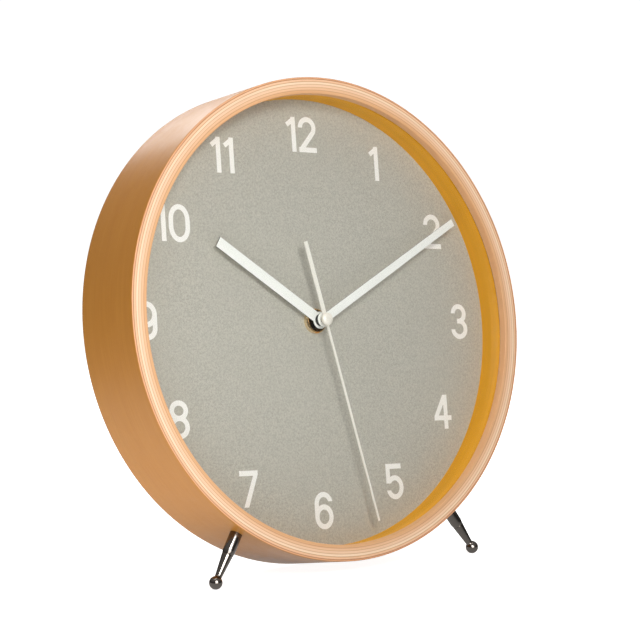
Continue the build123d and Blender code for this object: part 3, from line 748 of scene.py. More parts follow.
@dataclass(frozen=True)
class Bentwood(Opaque):
    """Moulded plywood: thin plies by radius, long grain round the drum, clear satin lacquer.

    Each row of plies is a ply or a glue line: where it starts and ends as a share of the wall
    from outside in, and its colours there. The first has the finish's own colour.
    """

    wall: float = 6.9
    layers: float = 7.0
    outer_ply: float = 0.024
    wander: float = 0.05
    streaks: float = 0.26
    figure: float = 0.12
    pores: float = 0.22
    worn: float = 0.25
    grain_tone: Colour = (0.70, 0.46, 0.27)
    pore_tone: Colour = (0.20, 0.09, 0.03)
    worn_tone: Colour = (0.93, 0.70, 0.45)
    plies: tuple[tuple[float, float, Colour, Colour], ...] = (
        (0.034, 0.100, (0.78, 0.44, 0.26), (0.70, 0.37, 0.20)),
        (0.118, 0.140, (0.46, 0.21, 0.10), (0.48, 0.22, 0.10)),
        (0.155, 0.260, (0.88, 0.60, 0.40), (0.84, 0.55, 0.35)),
        (0.275, 0.295, (0.56, 0.31, 0.17), (0.58, 0.33, 0.18)),
        (0.310, 0.420, (0.93, 0.74, 0.55), (0.91, 0.70, 0.51)),
        (0.440, 0.460, (0.64, 0.40, 0.25), (0.66, 0.42, 0.27)),
        (0.475, 0.600, (0.87, 0.62, 0.43), (0.88, 0.63, 0.43)),
        (0.615, 0.640, (0.64, 0.38, 0.22), (0.66, 0.40, 0.23)),
        (0.655, 0.770, (0.83, 0.55, 0.35), (0.81, 0.52, 0.32)),
        (0.785, 0.808, (0.58, 0.32, 0.17), (0.60, 0.33, 0.18)),
        (0.825, 1.000, (0.76, 0.46, 0.25), (0.71, 0.40, 0.20)),
    )

    def paint(self, tree: Tree, place: Socket) -> Socket:
        """Ply colour by radius, darkened by streaks, figure and pores."""
        where = tree.group(ROUND_PLACE, Place=place, Reach=drum.radius)
        drift = tree.noise(place, even(31.0), 2.0, 19.0)
        wander = tree.fit(drift, 0.3, 0.7, -self.wander, self.wander)
        inward = tree.plus(tree.less(drum.radius, where["Radius"]), wander)
        share = tree.math("DIVIDE", inward, self.wall)
        rows = ((0.0, self.outer_ply, self.colour, self.colour), *self.plies)
        stops = [stop for start, end, *tones in rows for stop in zip((start, end), tones)]
        layer = tree.times(tree.math("FLOOR", tree.times(share, self.layers)), 5.0)
        across = tree.plus(where["Depth"], where["Radius"])
        grain = tree.group(GRAIN, Along=where["Around"], Across=across, Layer=layer)
        tone = tree.ramp(share, stops)
        tone = tree.tint(grain["Streak"], self.streaks, tone, self.grain_tone, "MULTIPLY")
        tone = tree.tint(grain["Figure"], self.figure, tone, self.grain_tone, "MULTIPLY")
        tone = tree.tint(grain["Pore"], self.pores, tone, self.pore_tone)
        wear = tree.mask(EDGE_WEAR, place, Radius=0.5 * MM)
        tone = tree.tint(wear, self.worn, tone, self.worn_tone)
        relief = tree.less(tree.times(grain["Streak"], 0.5), grain["Pore"])
        lacquer = {"Coat Weight": 0.22, "Coat Roughness": 0.33, "Specular IOR Level": 0.3}
        smudge = tree.mask(SMUDGE, place)
        return self.surface(tree, tone, smudge, relief, lacquer)


@dataclass(frozen=True)
class ClearGlass(Finish):
    """Flat clear glass with faint wiping marks; lamps shine straight through it."""

    clear: Colour = (0.96, 0.97, 0.96)

    def paint(self, tree: Tree, place: Socket) -> Socket:
        """Glass for what is seen, and plainly clear for shadow and bounced rays."""
        smudge = tree.mask(SMUDGE, place)
        feeds = {
            "Base Color": tree.mix(smudge, self.colour, shade(self.colour, 0.985)),
            "Roughness": tree.fit(smudge, 0.0, 1.0, self.smooth, self.dull),
            "Transmission Weight": 1.0, "IOR": 1.45,
        }
        glass = tree.add("BsdfPrincipled", feeds).outputs[0]
        path = tree.add("LightPath").outputs
        let_through = tree.math("MAXIMUM", path["Is Shadow Ray"], path["Is Diffuse Ray"])
        clear = tree.add("BsdfTransparent", {0: rgba(self.clear)}).outputs[0]
        return tree.add("MixShader", {0: let_through, 1: glass, 2: clear}).outputs[0]


@dataclass(frozen=True)
class StripPaper(Opaque):
    """A satin strip bent round the inside: fine lines along it and a soft change of tone."""

    relief_depth: float = 0.015
    relief_share: float = 0.4
    streaks: float = 0.35
    figure: float = 0.25

    def paint(self, tree: Tree, place: Socket) -> Socket:
        """Ochre with streaks along the strip."""
        where = tree.group(ROUND_PLACE, Place=place, Reach=drum.radius)
        grain = tree.group(GRAIN, Along=where["Around"], Across=where["Depth"], Layer=2.0)
        tone = tree.tint(grain["Streak"], self.streaks, self.colour, shade(self.colour, 0.72))
        tone = tree.tint(grain["Figure"], self.figure, tone, shade(self.colour, 1.25))
        smudge = tree.mask(SMUDGE, place)
        return self.surface(tree, tone, smudge, grain["Streak"], {"Specular IOR Level": 0.3})


@dataclass(frozen=True)
class Printed(Opaque):
    """Matt screen print: a fine speckle and faint unevenness."""

    relief_share: float = 0.25
    fineness: float = 2.6
    contrast: float = 0.11
    evened: float = 0.35

    def paint(self, tree: Tree, place: Socket) -> Socket:
        """Speckled colour with a very fine tooth."""
        speckle = tree.group(SPECKLE, Place=place, Fineness=self.fineness)
        smudge = tree.mask(SMUDGE, place)
        dark, light = (shade(self.colour, 1 + side * self.contrast) for side in (-1, 1))
        tone = tree.mix(speckle["Mask"], dark, light)
        tone = tree.tint(smudge, self.evened, tone, self.colour)
        matt = {"Specular IOR Level": 0.25}
        return self.surface(tree, tone, speckle["Mask"], speckle["Cells"], matt)


@dataclass(frozen=True)
class Hardboard(Opaque):
    """Pressed fibre board: flecks of fibre, and the screen's weave pressed into its rear."""

    relief_depth: float = 0.15
    relief_share: float = 0.7
    mesh_pitch: float = 1.4
    clumped: float = 0.4

    def paint(self, tree: Tree, place: Socket) -> Socket:
        """Brown fibres under a woven imprint."""
        fibre = tree.noise(place, (0.9, 0.5, 0.35), 6.0, 29.0)
        clump = tree.noise(place, even(7.0), 4.0, 31.0)
        pale, dark = shade(self.colour, 1.6), shade(self.colour, 0.55)
        stops = ((0.0, dark), (0.45, self.colour), (1.0, pale))
        tone = tree.ramp(tree.fit(fibre, 0.3, 0.7), stops)
        clumps = tree.fit(clump, 0.4, 0.7)
        tone = tree.tint(clumps, self.clumped, tone, shade(self.colour, 0.7))
        x, _, z = tree.split(place)
        waves = FULL_TURN / self.mesh_pitch
        warp, weft = (tree.math("SINE", tree.times(way, waves)) for way in (x, z))
        weave = tree.fit(tree.times(warp, weft), -1.0, 1.0)
        relief = tree.plus(tree.times(weave, 0.7), tree.times(fibre, 0.5))
        return self.surface(tree, tone, fibre, relief)


@dataclass(frozen=True)
class Enamel(Opaque):
    """Sprayed enamel on thin metal: a faint orange peel, rubbed a little at its edges."""

    relief_depth: float = 0.01
    relief_share: float = 0.25
    patchy: float = 0.5
    chipped: float = 0.30
    under: Colour = (0.62, 0.62, 0.60)
    # Near-black cut sides: bare metal, and painted shade for the shadow line along the hand.
    cut_edge_and_painted_shade: Colour | None = None

    def paint(self, tree: Tree, place: Socket) -> Socket:
        """Even paint with worn edges, and the sheet's cut sides near-black: bare metal, and painted
        shade for the shadow line along the hand.
        """
        peel = tree.noise(place, even(0.45), 2.0, 37.0)
        smudge = tree.mask(SMUDGE, place)
        wear = tree.mask(EDGE_WEAR, place, Radius=0.12 * MM)
        tone = tree.tint(smudge, self.patchy, self.colour, shade(self.colour, 0.965))
        tone = tree.tint(wear, self.chipped, tone, self.under)
        # The cut sides are painted near-black: the bare edge, and painted shade for the shadow line
        # along the hand.
        if self.cut_edge_and_painted_shade is not None:
            normal = tree.add("NewGeometry").outputs["True Normal"]
            facing = tree.math("ABSOLUTE", tree.dot(normal, tuple(drum.axes[1])))
            tone = tree.mix(tree.fit(facing, 0.3, 0.7, 1.0, 0.0), tone, self.cut_edge_and_painted_shade)
        gloss = {"Coat Weight": 0.15, "Coat Roughness": 0.2}
        return self.surface(tree, tone, smudge, peel, gloss)


class Cut(Enum):
    """How a metal's tool lines run."""

    ROUND_HANDS = "rings about the hands' axis"
    ALONG_LEG = "rings up a leg"
    STRAIGHT = "straight brushing"


@dataclass(frozen=True)
class Metal(Opaque):
    """Bare or plated metal with tool lines, handling marks and brighter or darker edges."""

    cut: Cut = Cut.STRAIGHT
    # The tarnish colour, halved, is also the nut's painted shade, and the edge colour is also its
    # painted highlight.
    tarnish: Colour = (0.35, 0.26, 0.14)
    edge: Colour = (0.95, 0.85, 0.6)
    relief_depth: float = 0.006
    line_pitch: float = 0.11
    tarnished: float = 0.22
    edge_share: float = 0.6
    metallic: float = 1.0
    # How dark the painted shade in the nut's face is, where it ends, and where the painted
    # highlight on its rim starts.
    nut_shade_share: float = 0.85
    nut_shade_edge: tuple[float, float] = (4.2, 4.6)
    painted_highlight_rim: tuple[float, float] = (4.75, 5.0)

    def about_hands(self, tree: Tree, place: Socket) -> dict[str, Socket]:
        """Where a point is about the hands' axis."""
        hub = drum.middle("shaft_nut")
        return tree.group(ROUND_PLACE, Place=tree.moved(place, (hub[0], 0.0, hub[2])), Reach=1.0)

    def paint_nut_shade_and_highlight(self, tree: Tree, place: Socket, tone: Socket) -> Socket:
        """Paint shade inside the nut's face, where its recess falls dark, and a painted highlight
        on the rim outside it.

        Args:
            tree: the material's tree.
            place: where a point is, in millimetres.
            tone: the metal's colour.

        Returns:
            The colour with the painted shade and highlight on it.
        """
        radius = self.about_hands(tree, place)["Radius"]
        # Painted highlight: the edge colour on the nut's outer rim.
        bare = tree.mix(tree.fit(radius, *self.painted_highlight_rim, 0.0, 0.8), tone, self.edge)
        # Painted shade: the halved tarnish colour over the nut's face inside its rim.
        painted_nut_shade = tree.fit(radius, *self.nut_shade_edge, self.nut_shade_share, 0.0)
        return tree.mix(painted_nut_shade, bare, shade(self.tarnish, 0.5))

    def distance(self, tree: Tree, place: Socket) -> Socket:
        """Find how far a point is across the tool lines.

        Args:
            tree: the material's tree.
            place: where a point is, in millimetres.

        Returns:
            The distance, in millimetres.
        """
        if self.cut is Cut.ROUND_HANDS:
            where = self.about_hands(tree, place)
            return tree.plus(where["Radius"], where["Depth"])
        if self.cut is Cut.ALONG_LEG:
            return tree.group(ROUND_PLACE, Place=place, Reach=1.0)["Radius"]
        return tree.split(place)[2]

    def paint(self, tree: Tree, place: Socket) -> Socket:
        """Metal whose tarnish gathers in patches and leaves the edges bright."""
        lines = tree.group(TURNING, Distance=self.distance(tree, place), Pitch=self.line_pitch)
        smudge = tree.mask(SMUDGE, place)
        wear = tree.mask(EDGE_WEAR, place, Radius=0.25 * MM)
        tone = tree.tint(smudge, self.tarnished, self.colour, self.tarnish)
        tone = tree.tint(wear, self.edge_share, tone, self.edge)
        if self.cut is Cut.ROUND_HANDS:
            # Painted shade in the nut's face and a painted highlight on its rim.
            tone = self.paint_nut_shade_and_highlight(tree, place, tone)
        bare = {"Metallic": self.metallic}
        return self.surface(tree, tone, smudge, lines["Height"], bare)


@dataclass(frozen=True)
class Moulding(Opaque):
    """Moulded plastic or rubber: a spark-eroded tooth, paler rubbed edges and a little dust."""

    relief_share: float = 0.6
    fineness: float = 5.0
    rubbed: float = 0.25
    dusty: float = 0.25
    paled: float = 0.35
    dust_tone: Colour = (0.52, 0.49, 0.44)

    def paint(self, tree: Tree, place: Socket) -> Socket:
        """Even plastic with a fine tooth."""
        cells = tree.group(SPECKLE, Place=place, Fineness=self.fineness)["Cells"]
        smudge = tree.mask(SMUDGE, place)
        wear = tree.mask(EDGE_WEAR, place, Radius=0.3 * MM)
        dust = tree.mask(DUST, place)
        flow = tree.fit(tree.noise(place, (12.0, 5.0, 3.0), 4.0, 41.0), 0.35, 0.65)
        tone = tree.mix(flow, shade(self.colour, 0.88), shade(self.colour, 1.10))
        paler = tuple(part + (1 - part) * self.paled for part in self.colour)
        tone = tree.tint(wear, self.rubbed, tone, paler)
        tone = tree.tint(dust, self.dusty, tone, self.dust_tone)
        return self.surface(tree, tone, smudge, cells)


@dataclass(frozen=True)
class Winding(Opaque):
    """Fine enamelled copper wire, wound close along a bobbin that runs left to right."""

    relief_depth: float = 0.07
    relief_share: float = 0.9
    wire: float = 0.14

    def paint(self, tree: Tree, place: Socket) -> Socket:
        """Copper with a groove between each turn of wire."""
        turns = tree.group(TURNING, Distance=tree.split(place)[0], Pitch=self.wire)["Height"]
        uneven = tree.noise(place, (0.6, 3.0, 3.0), 3.0, 43.0)
        tone = tree.mix(tree.fit(uneven, 0.35, 0.65), shade(self.colour, 0.65), self.colour)
        return self.surface(tree, tone, uneven, turns, {"Metallic": 0.9})


@dataclass(frozen=True)
class CircuitFace(Opaque):
    """Green lacquered board with copper runs under the lacquer."""

    relief_depth: float = 0.03
    relief_share: float = 0.6

    def paint(self, tree: Tree, place: Socket) -> Socket:
        """Square-cornered runs, a little paler than the board."""
        feeds = {
            "Vector": place, "Scale": 0.55, "Brick Width": 1.7, "Row Height": 0.55,
            "Mortar Size": 0.07,
        }
        runs = tree.add("TexBrick", feeds, offset=0.37, squash=1.6).outputs["Fac"]
        weave = tree.mask(SPECKLE, place, Fineness=3.0)
        tone = tree.mix(runs, self.colour, shade(self.colour, 2.1))
        tone = tree.tint(weave, 0.3, tone, shade(self.colour, 0.7))
        return self.surface(tree, tone, weave, runs)


@dataclass(frozen=True)
class Label(Opaque):
    """The cell's shrunk sleeve: a dark body with a plain band at one end, and fine scuffs."""

    relief_depth: float = 0.01
    relief_share: float = 0.3
    marked: float = 0.35
    band: Colour = (0.62, 0.42, 0.10)
    line: Colour = (0.75, 0.73, 0.68)
    scuffed: Colour = (0.5, 0.49, 0.47)
    band_start: float = 11.0
    spread: float = 10.0

    def paint(self, tree: Tree, place: Socket) -> Socket:
        """Two plain colours that meet at a thin pale line round the cell."""
        x = tree.split(tree.moved(place, drum.middle("cell_sleeve")))[0]
        along = tree.fit(x, self.band_start - self.spread, self.band_start + self.spread)
        tones = (self.colour, self.colour, self.line, self.band, self.band)
        tone = tree.ramp(along, tuple(zip((0.0, 0.49, 0.495, 0.51, 1.0), tones)))
        scuff = tree.noise(place, (4.0, 0.3, 0.3), 5.0, 47.0)
        marks = tree.fit(scuff, 0.62, 0.75)
        tone = tree.tint(marks, self.marked, tone, self.scuffed)
        gloss = {"Coat Weight": 0.4, "Coat Roughness": 0.12}
        return self.surface(tree, tone, marks, scuff, gloss)


BRASS = dict(cut=Cut.ROUND_HANDS, tarnish=(0.16, 0.085, 0.03), edge=(1.0, 0.84, 0.58))
STEEL = dict(tarnish=(0.40, 0.37, 0.33), edge=(0.8, 0.8, 0.78))
MAGNET = dict(metallic=0.5, tarnish=(0.08, 0.07, 0.07), edge=(0.3, 0.3, 0.3))
TIN = dict(tarnish=(0.5, 0.48, 0.45), edge=(0.9, 0.9, 0.88))
NICKEL = dict(tarnish=(0.45, 0.42, 0.36), edge=(0.85, 0.82, 0.76))
GUNMETAL = dict(
    cut=Cut.ALONG_LEG, tarnish=(0.13, 0.115, 0.10), edge=(0.42, 0.39, 0.35), relief_depth=0.003
)
GEAR = dict(relief_depth=0.005, dusty=0.0)
POLISHED = dict(relief_depth=0.003, rubbed=0.6, dusty=0.15)

FINISHES: tuple[Finish, ...] = (
    Bentwood("bentwood", (0.51, 0.225, 0.038), 0.34, 0.48),
    ClearGlass("glass", (0.985, 0.99, 0.985), 0.0, 0.012),
    StripPaper("liner", (0.76, 0.35, 0.006), 0.5, 0.65),
    Printed("dial_print", (0.462, 0.445, 0.395), 0.62, 0.78, fineness=1.35, contrast=0.17),
    Hardboard("board", (0.16, 0.085, 0.038), 0.68, 0.85),
    Printed("ink", (0.92, 0.91, 0.89), 0.5, 0.62, fineness=4.0, contrast=0.03),
    Enamel("hand_white", (0.92, 0.925, 0.90), 0.32, 0.45, cut_edge_and_painted_shade=(0.06, 0.07, 0.065)),
    Enamel("hand_cream", (0.87, 0.84, 0.78), 0.32, 0.45),
    Enamel("boss_cream", (0.87, 0.83, 0.76), 0.28, 0.4, under=(0.7, 0.62, 0.5)),
    Metal("brass", (0.66, 0.43, 0.18), 0.12, 0.24, **BRASS),
    Moulding("black_moulding", (0.022, 0.022, 0.023), 0.42, 0.58),
    Moulding("black_polished", (0.06, 0.06, 0.062), 0.14, 0.26, **POLISHED),
    Moulding("gear_white", (0.78, 0.77, 0.70), 0.35, 0.45, **GEAR),
    Moulding("gear_black", (0.03, 0.03, 0.03), 0.35, 0.45, **GEAR),
    Moulding("gear_amber", (0.60, 0.32, 0.08), 0.30, 0.42, **GEAR),
    Metal("steel", (0.58, 0.57, 0.55), 0.22, 0.38, **STEEL),
    Metal("magnet", (0.12, 0.12, 0.125), 0.45, 0.6, **MAGNET),
    Winding("copper", (0.72, 0.30, 0.12), 0.28, 0.42),
    CircuitFace("board_green", (0.03, 0.14, 0.05), 0.28, 0.42),
    Metal("tin", (0.70, 0.69, 0.67), 0.18, 0.32, **TIN),
    Moulding("epoxy", (0.015, 0.015, 0.015), 0.12, 0.25, relief_depth=0.002, dusty=0.1),
    Metal("nickel_strip", (0.66, 0.63, 0.57), 0.2, 0.36, **NICKEL),
    Label("cell_label", (0.035, 0.045, 0.06), 0.30, 0.5),
    Metal("gunmetal", (0.21, 0.19, 0.172), 0.08, 0.15, **GUNMETAL),
    Moulding("rubber", (0.025, 0.024, 0.023), 0.65, 0.8, fineness=3.0, dusty=0.4),
)


class Paintbox:
    """Every finish's material, made once and handed out by slot name."""

    def __init__(self) -> None:
        """Make each finish's material."""
        self.made = {finish.name: finish.make() for finish in FINISHES}

    def __getitem__(self, slot: str) -> Material:
        """The material of a slot."""
        return self.made[slot]

    def dress_nodes(self) -> None:
        """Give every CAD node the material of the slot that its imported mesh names."""
        for node in frame["nodes"].values():
            for place, packed in enumerate(node.data.materials):
                node.data.materials[place] = self.made[packed.name.split(".")[0]]


# ---- the clock's assemblies


@dataclass
class Assembly:
    """A part of the clock: it builds its pieces and hands each to the body it moves with."""

    paints: Paintbox

    def place(self, piece: Piece, body: str, slot: str, *nodes: str) -> None:
        """Let a piece ride on a body, and hide the CAD nodes that it stands for.

        Args:
            piece: the piece.
            body: the CAD body that it moves with.
            slot: the record's material slot; not used.
            nodes: the CAD nodes that it replaces.
        """
        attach(piece, body)
        if nodes:
            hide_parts(*nodes)
        log.info("%s rides on %s: %d faces", piece.name, body, len(piece.data.polygons))

    def build(self) -> None:
        """Build every piece of the assembly."""
        raise NotImplementedError


@dataclass
class Drum(Assembly):
    """The bentwood case and its glass."""

    wall: float = 6.9
    lip_depth: float = 3.5
    lip_overlap: float = 0.9
    lip_round: float = 0.25
    rim_round: float = 0.4
    ply_count: int = 7
    ply_groove: float = 0.035
    groove_fade: float = 0.3
    edge_step: float = 0.115
    inset: float = 0.03
    glass_thickness: float = 2.0
    glass_chamfer: float = 0.25

    def rim_face(self, inner: float, outer: float, depth: float, inward: float) -> np.ndarray:
        """Work out an edge face's rows: each glue line is a shallow groove.

        A groove's depth is the tenth power of the cosine of the ply phase, so it is narrow, and
        it fades out at both ends of the face.

        Args:
            inner: the radius that the face starts at.
            outer: the radius that it ends at.
            depth: the face's own depth.
            inward: the sign that takes a groove into the wood.

        Returns:
            (radius, depth) rows.
        """
        radii = np.linspace(inner, outer, max(2, int(abs(outer - inner) / self.edge_step)))
        phase = (drum.radius - radii) / self.wall * self.ply_count * pi
        from_ends = np.minimum(radii - radii.min(), radii.max() - radii)
        fade = np.clip(from_ends / self.groove_fade, 0, 1)
        grooves = self.ply_groove * np.cos(phase) ** 10 * fade
        return np.column_stack([radii, depth + inward * grooves])

    def build_case(self) -> None:
        """The ring: front edge, lip, rebate, rear edge and outer wall, as one closed profile."""
        outer, lip = drum.radius - self.inset, drum.radius - self.wall
        rebate, soft, rim = lip + self.lip_overlap, self.lip_round, self.rim_round
        turn = np.linspace(0, pi / 2, 7)[:, None]
        rise, fall = np.sin(turn), np.cos(turn)
        front_corner = np.hstack([outer - rim + rim * rise, rim * (1 - fall)])
        rear_corner = front_corner[::-1] * (1, -1) + (0, drum.depth)
        lip_corner = np.hstack([lip + soft - soft * fall, soft * (1 - rise)])
        wall = np.linspace(rim, drum.depth - rim, 24)[1:-1]
        bend = self.lip_depth + 0.4 * (drum.depth - self.lip_depth)
        profile = np.vstack([
            lip_corner,
            self.rim_face(lip + soft, outer - rim, 0.0, 1.0)[1:-1],
            front_corner,
            np.column_stack([np.full(len(wall), outer), wall]),
            rear_corner,
            self.rim_face(outer - rim, rebate, drum.depth, -1.0)[1:],
            [(rebate, bend), (rebate, self.lip_depth)],
            [(lip, self.lip_depth), (lip, self.lip_depth / 2)],
        ])
        wood = self.paints["bentwood"]
        centre, rearward = (0, 0, 0), Way.REARWARD.value
        ring = turned("case_bentwood", profile, centre, rearward, wood, RING_STEPS, ring=True)
        self.place(ring, "case", "bentwood", "case_ring")

    def build_glass(self) -> None:
        """The flat glass, with its edge ground to a small chamfer on both sides."""
        low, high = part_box("lens_glass")
        radius = (high.x - low.x) / 2 / MM
        half, chamfer = self.glass_thickness / 2, self.glass_chamfer
        rim = [
            (radius - chamfer, -half), (radius, -half + chamfer), (radius, half - chamfer),
            (radius - chamfer, half),
        ]
        rings = np.array([(radius * share, -half) for share in (0.3, 0.6, 0.9)])
        profile = np.vstack([rings, rim, rings[::-1] * (1, -1)])
        hub, clear = drum.middle("lens_glass"), self.paints["glass"]
        pane = turned("front_glass", profile, hub, Way.REARWARD.value, clear, RING_STEPS)
        self.place(pane, "case", "glass", "lens_glass")

    def build(self) -> None:
        """Build the case and its glass."""
        self.build_case()
        self.build_glass()


@dataclass
class Legs(Assembly):
    """Two turned legs: shank, taper, fine groove, cone, neck and ball."""

    spread: float = radians(33.65)
    depth: float = 8.3
    length: float = 21.7
    shank_rings: tuple[float, ...] = (-0.03, 0.6, 4.0)  # the first is sunk in the drum's wall
    shank_radius: float = 2.55
    shank_length: float = 9.4
    taper_length: float = 1.7
    taper: float = 0.3
    groove_width: float = 0.25
    groove_depth: float = 0.2
    lip: float = 0.02
    corner: float = 0.1
    cone_gap: float = 0.3
    cone_tip: float = 1.15
    neck_sunk: float = 0.15
    neck_step: float = 0.12
    ball_radius: float = 2.698
    pole_gap: float = 0.02

    def profile(self) -> np.ndarray:
        """(radius, distance from the drum) rows from the seat to the ball's end."""
        thick, shank_end = self.shank_radius, self.shank_length
        lip, corner = self.lip, self.corner
        waist = thick - self.taper
        floor = waist - self.groove_depth
        taper_start = shank_end - self.taper_length
        groove_end = shank_end + self.groove_width
        shank = [
            *((thick, rise) for rise in self.shank_rings),
            (thick, taper_start - corner), (thick - lip, taper_start + corner),
            (waist + 2 * lip, shank_end - corner - lip), (waist - lip, shank_end),
            (floor, shank_end + lip), (floor, groove_end - lip),
            (waist - lip, groove_end), (waist, groove_end + 4 * lip),
        ]
        cone_start = groove_end + self.cone_gap
        cone_end = self.length - self.ball_radius + self.neck_sunk
        fall = np.linspace(0, 1, 12)[:, None] * (cone_end - cone_start)
        slope = (waist - self.cone_tip) / (self.length - groove_end)
        cone = np.hstack([waist - slope * (self.cone_gap + fall), cone_start + fall])
        ball = self.ball_radius
        start = np.arcsin(min(1.0, (cone[-1, 0] + self.neck_step) / ball))
        turn = np.linspace(start, pi - self.pole_gap, 30)[:, None]
        foot = np.hstack([ball * np.sin(turn), self.length - ball * np.cos(turn)])
        return np.vstack([shank, cone, foot])

    def build(self) -> None:
        """Both legs, radial to the drum and clear of its wall."""
        for name, side in (("leg_left", -1), ("leg_right", 1)):
            out = np.array([side * sin(self.spread), 0.0, -cos(self.spread)])
            hub = out * drum.radius + (0.0, self.depth, 0.0)
            leg = turned(name + "_turned", self.profile(), hub, out, self.paints["gunmetal"])
            self.place(leg, "case", "gunmetal", name)


@dataclass
class HandFittings(Assembly):
    """The brass nut that holds the dial, and the second hand's domed cap."""

    nut_radius: float = 5.2
    nut_thickness: float = 2.2
    nut_bore: float = 3.95
    nut_chamfer: float = 0.6
    nut_roundings: tuple[float, ...] = (0.15, 0.1, 0.12, 0.1, 0.05)
    cap_radius: float = 2.7
    cap_height: float = 1.85
    cap_edge: float = 0.12
    cap_wall: float = 0.35
    dome_width_power: float = 0.55
    dome_height_power: float = 0.95
    dome_tip: float = 0.01

    def build_nut(self) -> None:
        """A round nut: a broad front chamfer and eased edges."""
        half, outer, cut = self.nut_thickness / 2, self.nut_radius, self.nut_chamfer
        corners = [
            (self.nut_bore, -half), (outer - cut, -half), (outer, -half + cut), (outer, half),
            (self.nut_bore, half),
        ]
        profile = rounded(corners, self.nut_roundings, 4)
        hub, brass = drum.middle("shaft_nut"), self.paints["brass"]
        nut = turned("hand_nut", profile, hub, Way.REARWARD.value, brass, NUT_STEPS, ring=True)
        self.place(nut, "case", "brass", "shaft_nut")

    def build_cap(self) -> None:
        """The second hand's cap: a short wall under a dome whose height falls as a soft oval."""
        half, radius = self.cap_height / 2, self.cap_radius
        turn = np.linspace(0, pi / 2, 18)[:, None]
        wall, dome = self.cap_wall * self.cap_height, (1 - self.cap_wall) * self.cap_height
        spread = np.cos(turn) ** self.dome_width_power
        rise = np.sin(turn) ** self.dome_height_power
        rows = [radius * np.maximum(spread, self.dome_tip), -half + wall + dome * rise]
        foot = [(radius - self.cap_edge, -half), (radius, -half + self.cap_edge)]
        profile = np.vstack([foot, np.hstack(rows)])
        hub, cream = drum.middle("second_boss"), self.paints["boss_cream"]
        cap = turned("second_cap", profile, hub, Way.FORWARD.value, cream)
        self.place(cap, "seconds", "boss_cream", "second_boss")

    def build(self) -> None:
        """Build the nut and the cap."""
        self.build_nut()
        self.build_cap()


@dataclass
class Battery(Assembly):
    """The AA cell: a plated can with its crimp and button, in a shrunk plain sleeve.

    Its end profiles are rows: crimp (in from the wall, up from the flat end), shoulder (in from
    the wall, down from the shoulder), root (out from the button's wall, down from the shoulder)
    and tip (out from the button's wall, down from its tip).
    """

    radius: float = 7.0
    sleeve: float = 0.1
    sleeve_round: float = 0.07
    button_radius: float = 2.7
    button_length: float = 1.2
    bare_end: float = 0.6
    crimp: Rows = ((1.6, 0.0), (1.2, 0.12), (0.5, 0.12), (0.15, 0.3), (0.0, 0.7))
    shoulder: Rows = ((0.0, 0.7), (0.15, 0.25), (0.6, 0.02), (2.6, 0.02))
    root: Rows = ((0.4, 0.15), (0.0, 0.0))
    tip: Rows = ((0.0, 0.3), (-0.12, 0.08), (-0.4, 0.0))

    def half_length(self) -> float:
        """Half of the cell's length with its button, from its turned box."""
        low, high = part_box("cell")
        tall = 2 * self.radius * sin(DIAL_TURN)
        return ((high.x - low.x) / MM - tall) / cos(DIAL_TURN) / 2

    def build(self) -> None:
        """Build the can and its sleeve, level with the dial."""
        half = self.half_length()
        neck, wall, stem = half - self.button_length, self.radius, self.button_radius
        can = np.array([
            *((wall - inward, -half + rise) for inward, rise in self.crimp),
            (wall, -half / 2), (wall, 0.0), (wall, neck / 2),
            *((wall - inward, neck - drop) for inward, drop in self.shoulder),
            *((stem + out, neck - drop) for out, drop in self.root),
            *((stem + out, half - drop) for out, drop in self.tip),
        ])
        hub, axis = drum.middle("cell"), (cos(DIAL_TURN), 0.0, -sin(DIAL_TURN))
        body = turned("cell_can", can, hub, axis, self.paints["tin"])
        self.place(body, "battery", "tin", "cell")
        start, end = -half + self.bare_end, neck - self.bare_end
        outer, soft = wall + self.sleeve, self.sleeve_round
        corners = [(wall, start), (outer, start), (outer, 0.0), (outer, end), (wall, end)]
        profile = rounded(corners, (0, soft, 0, soft, 0), 4)
        wrap = turned("cell_wrap", profile, hub, axis, self.paints["cell_label"], ring=True)
        self.place(wrap, "battery", "cell_label", "cell_sleeve")


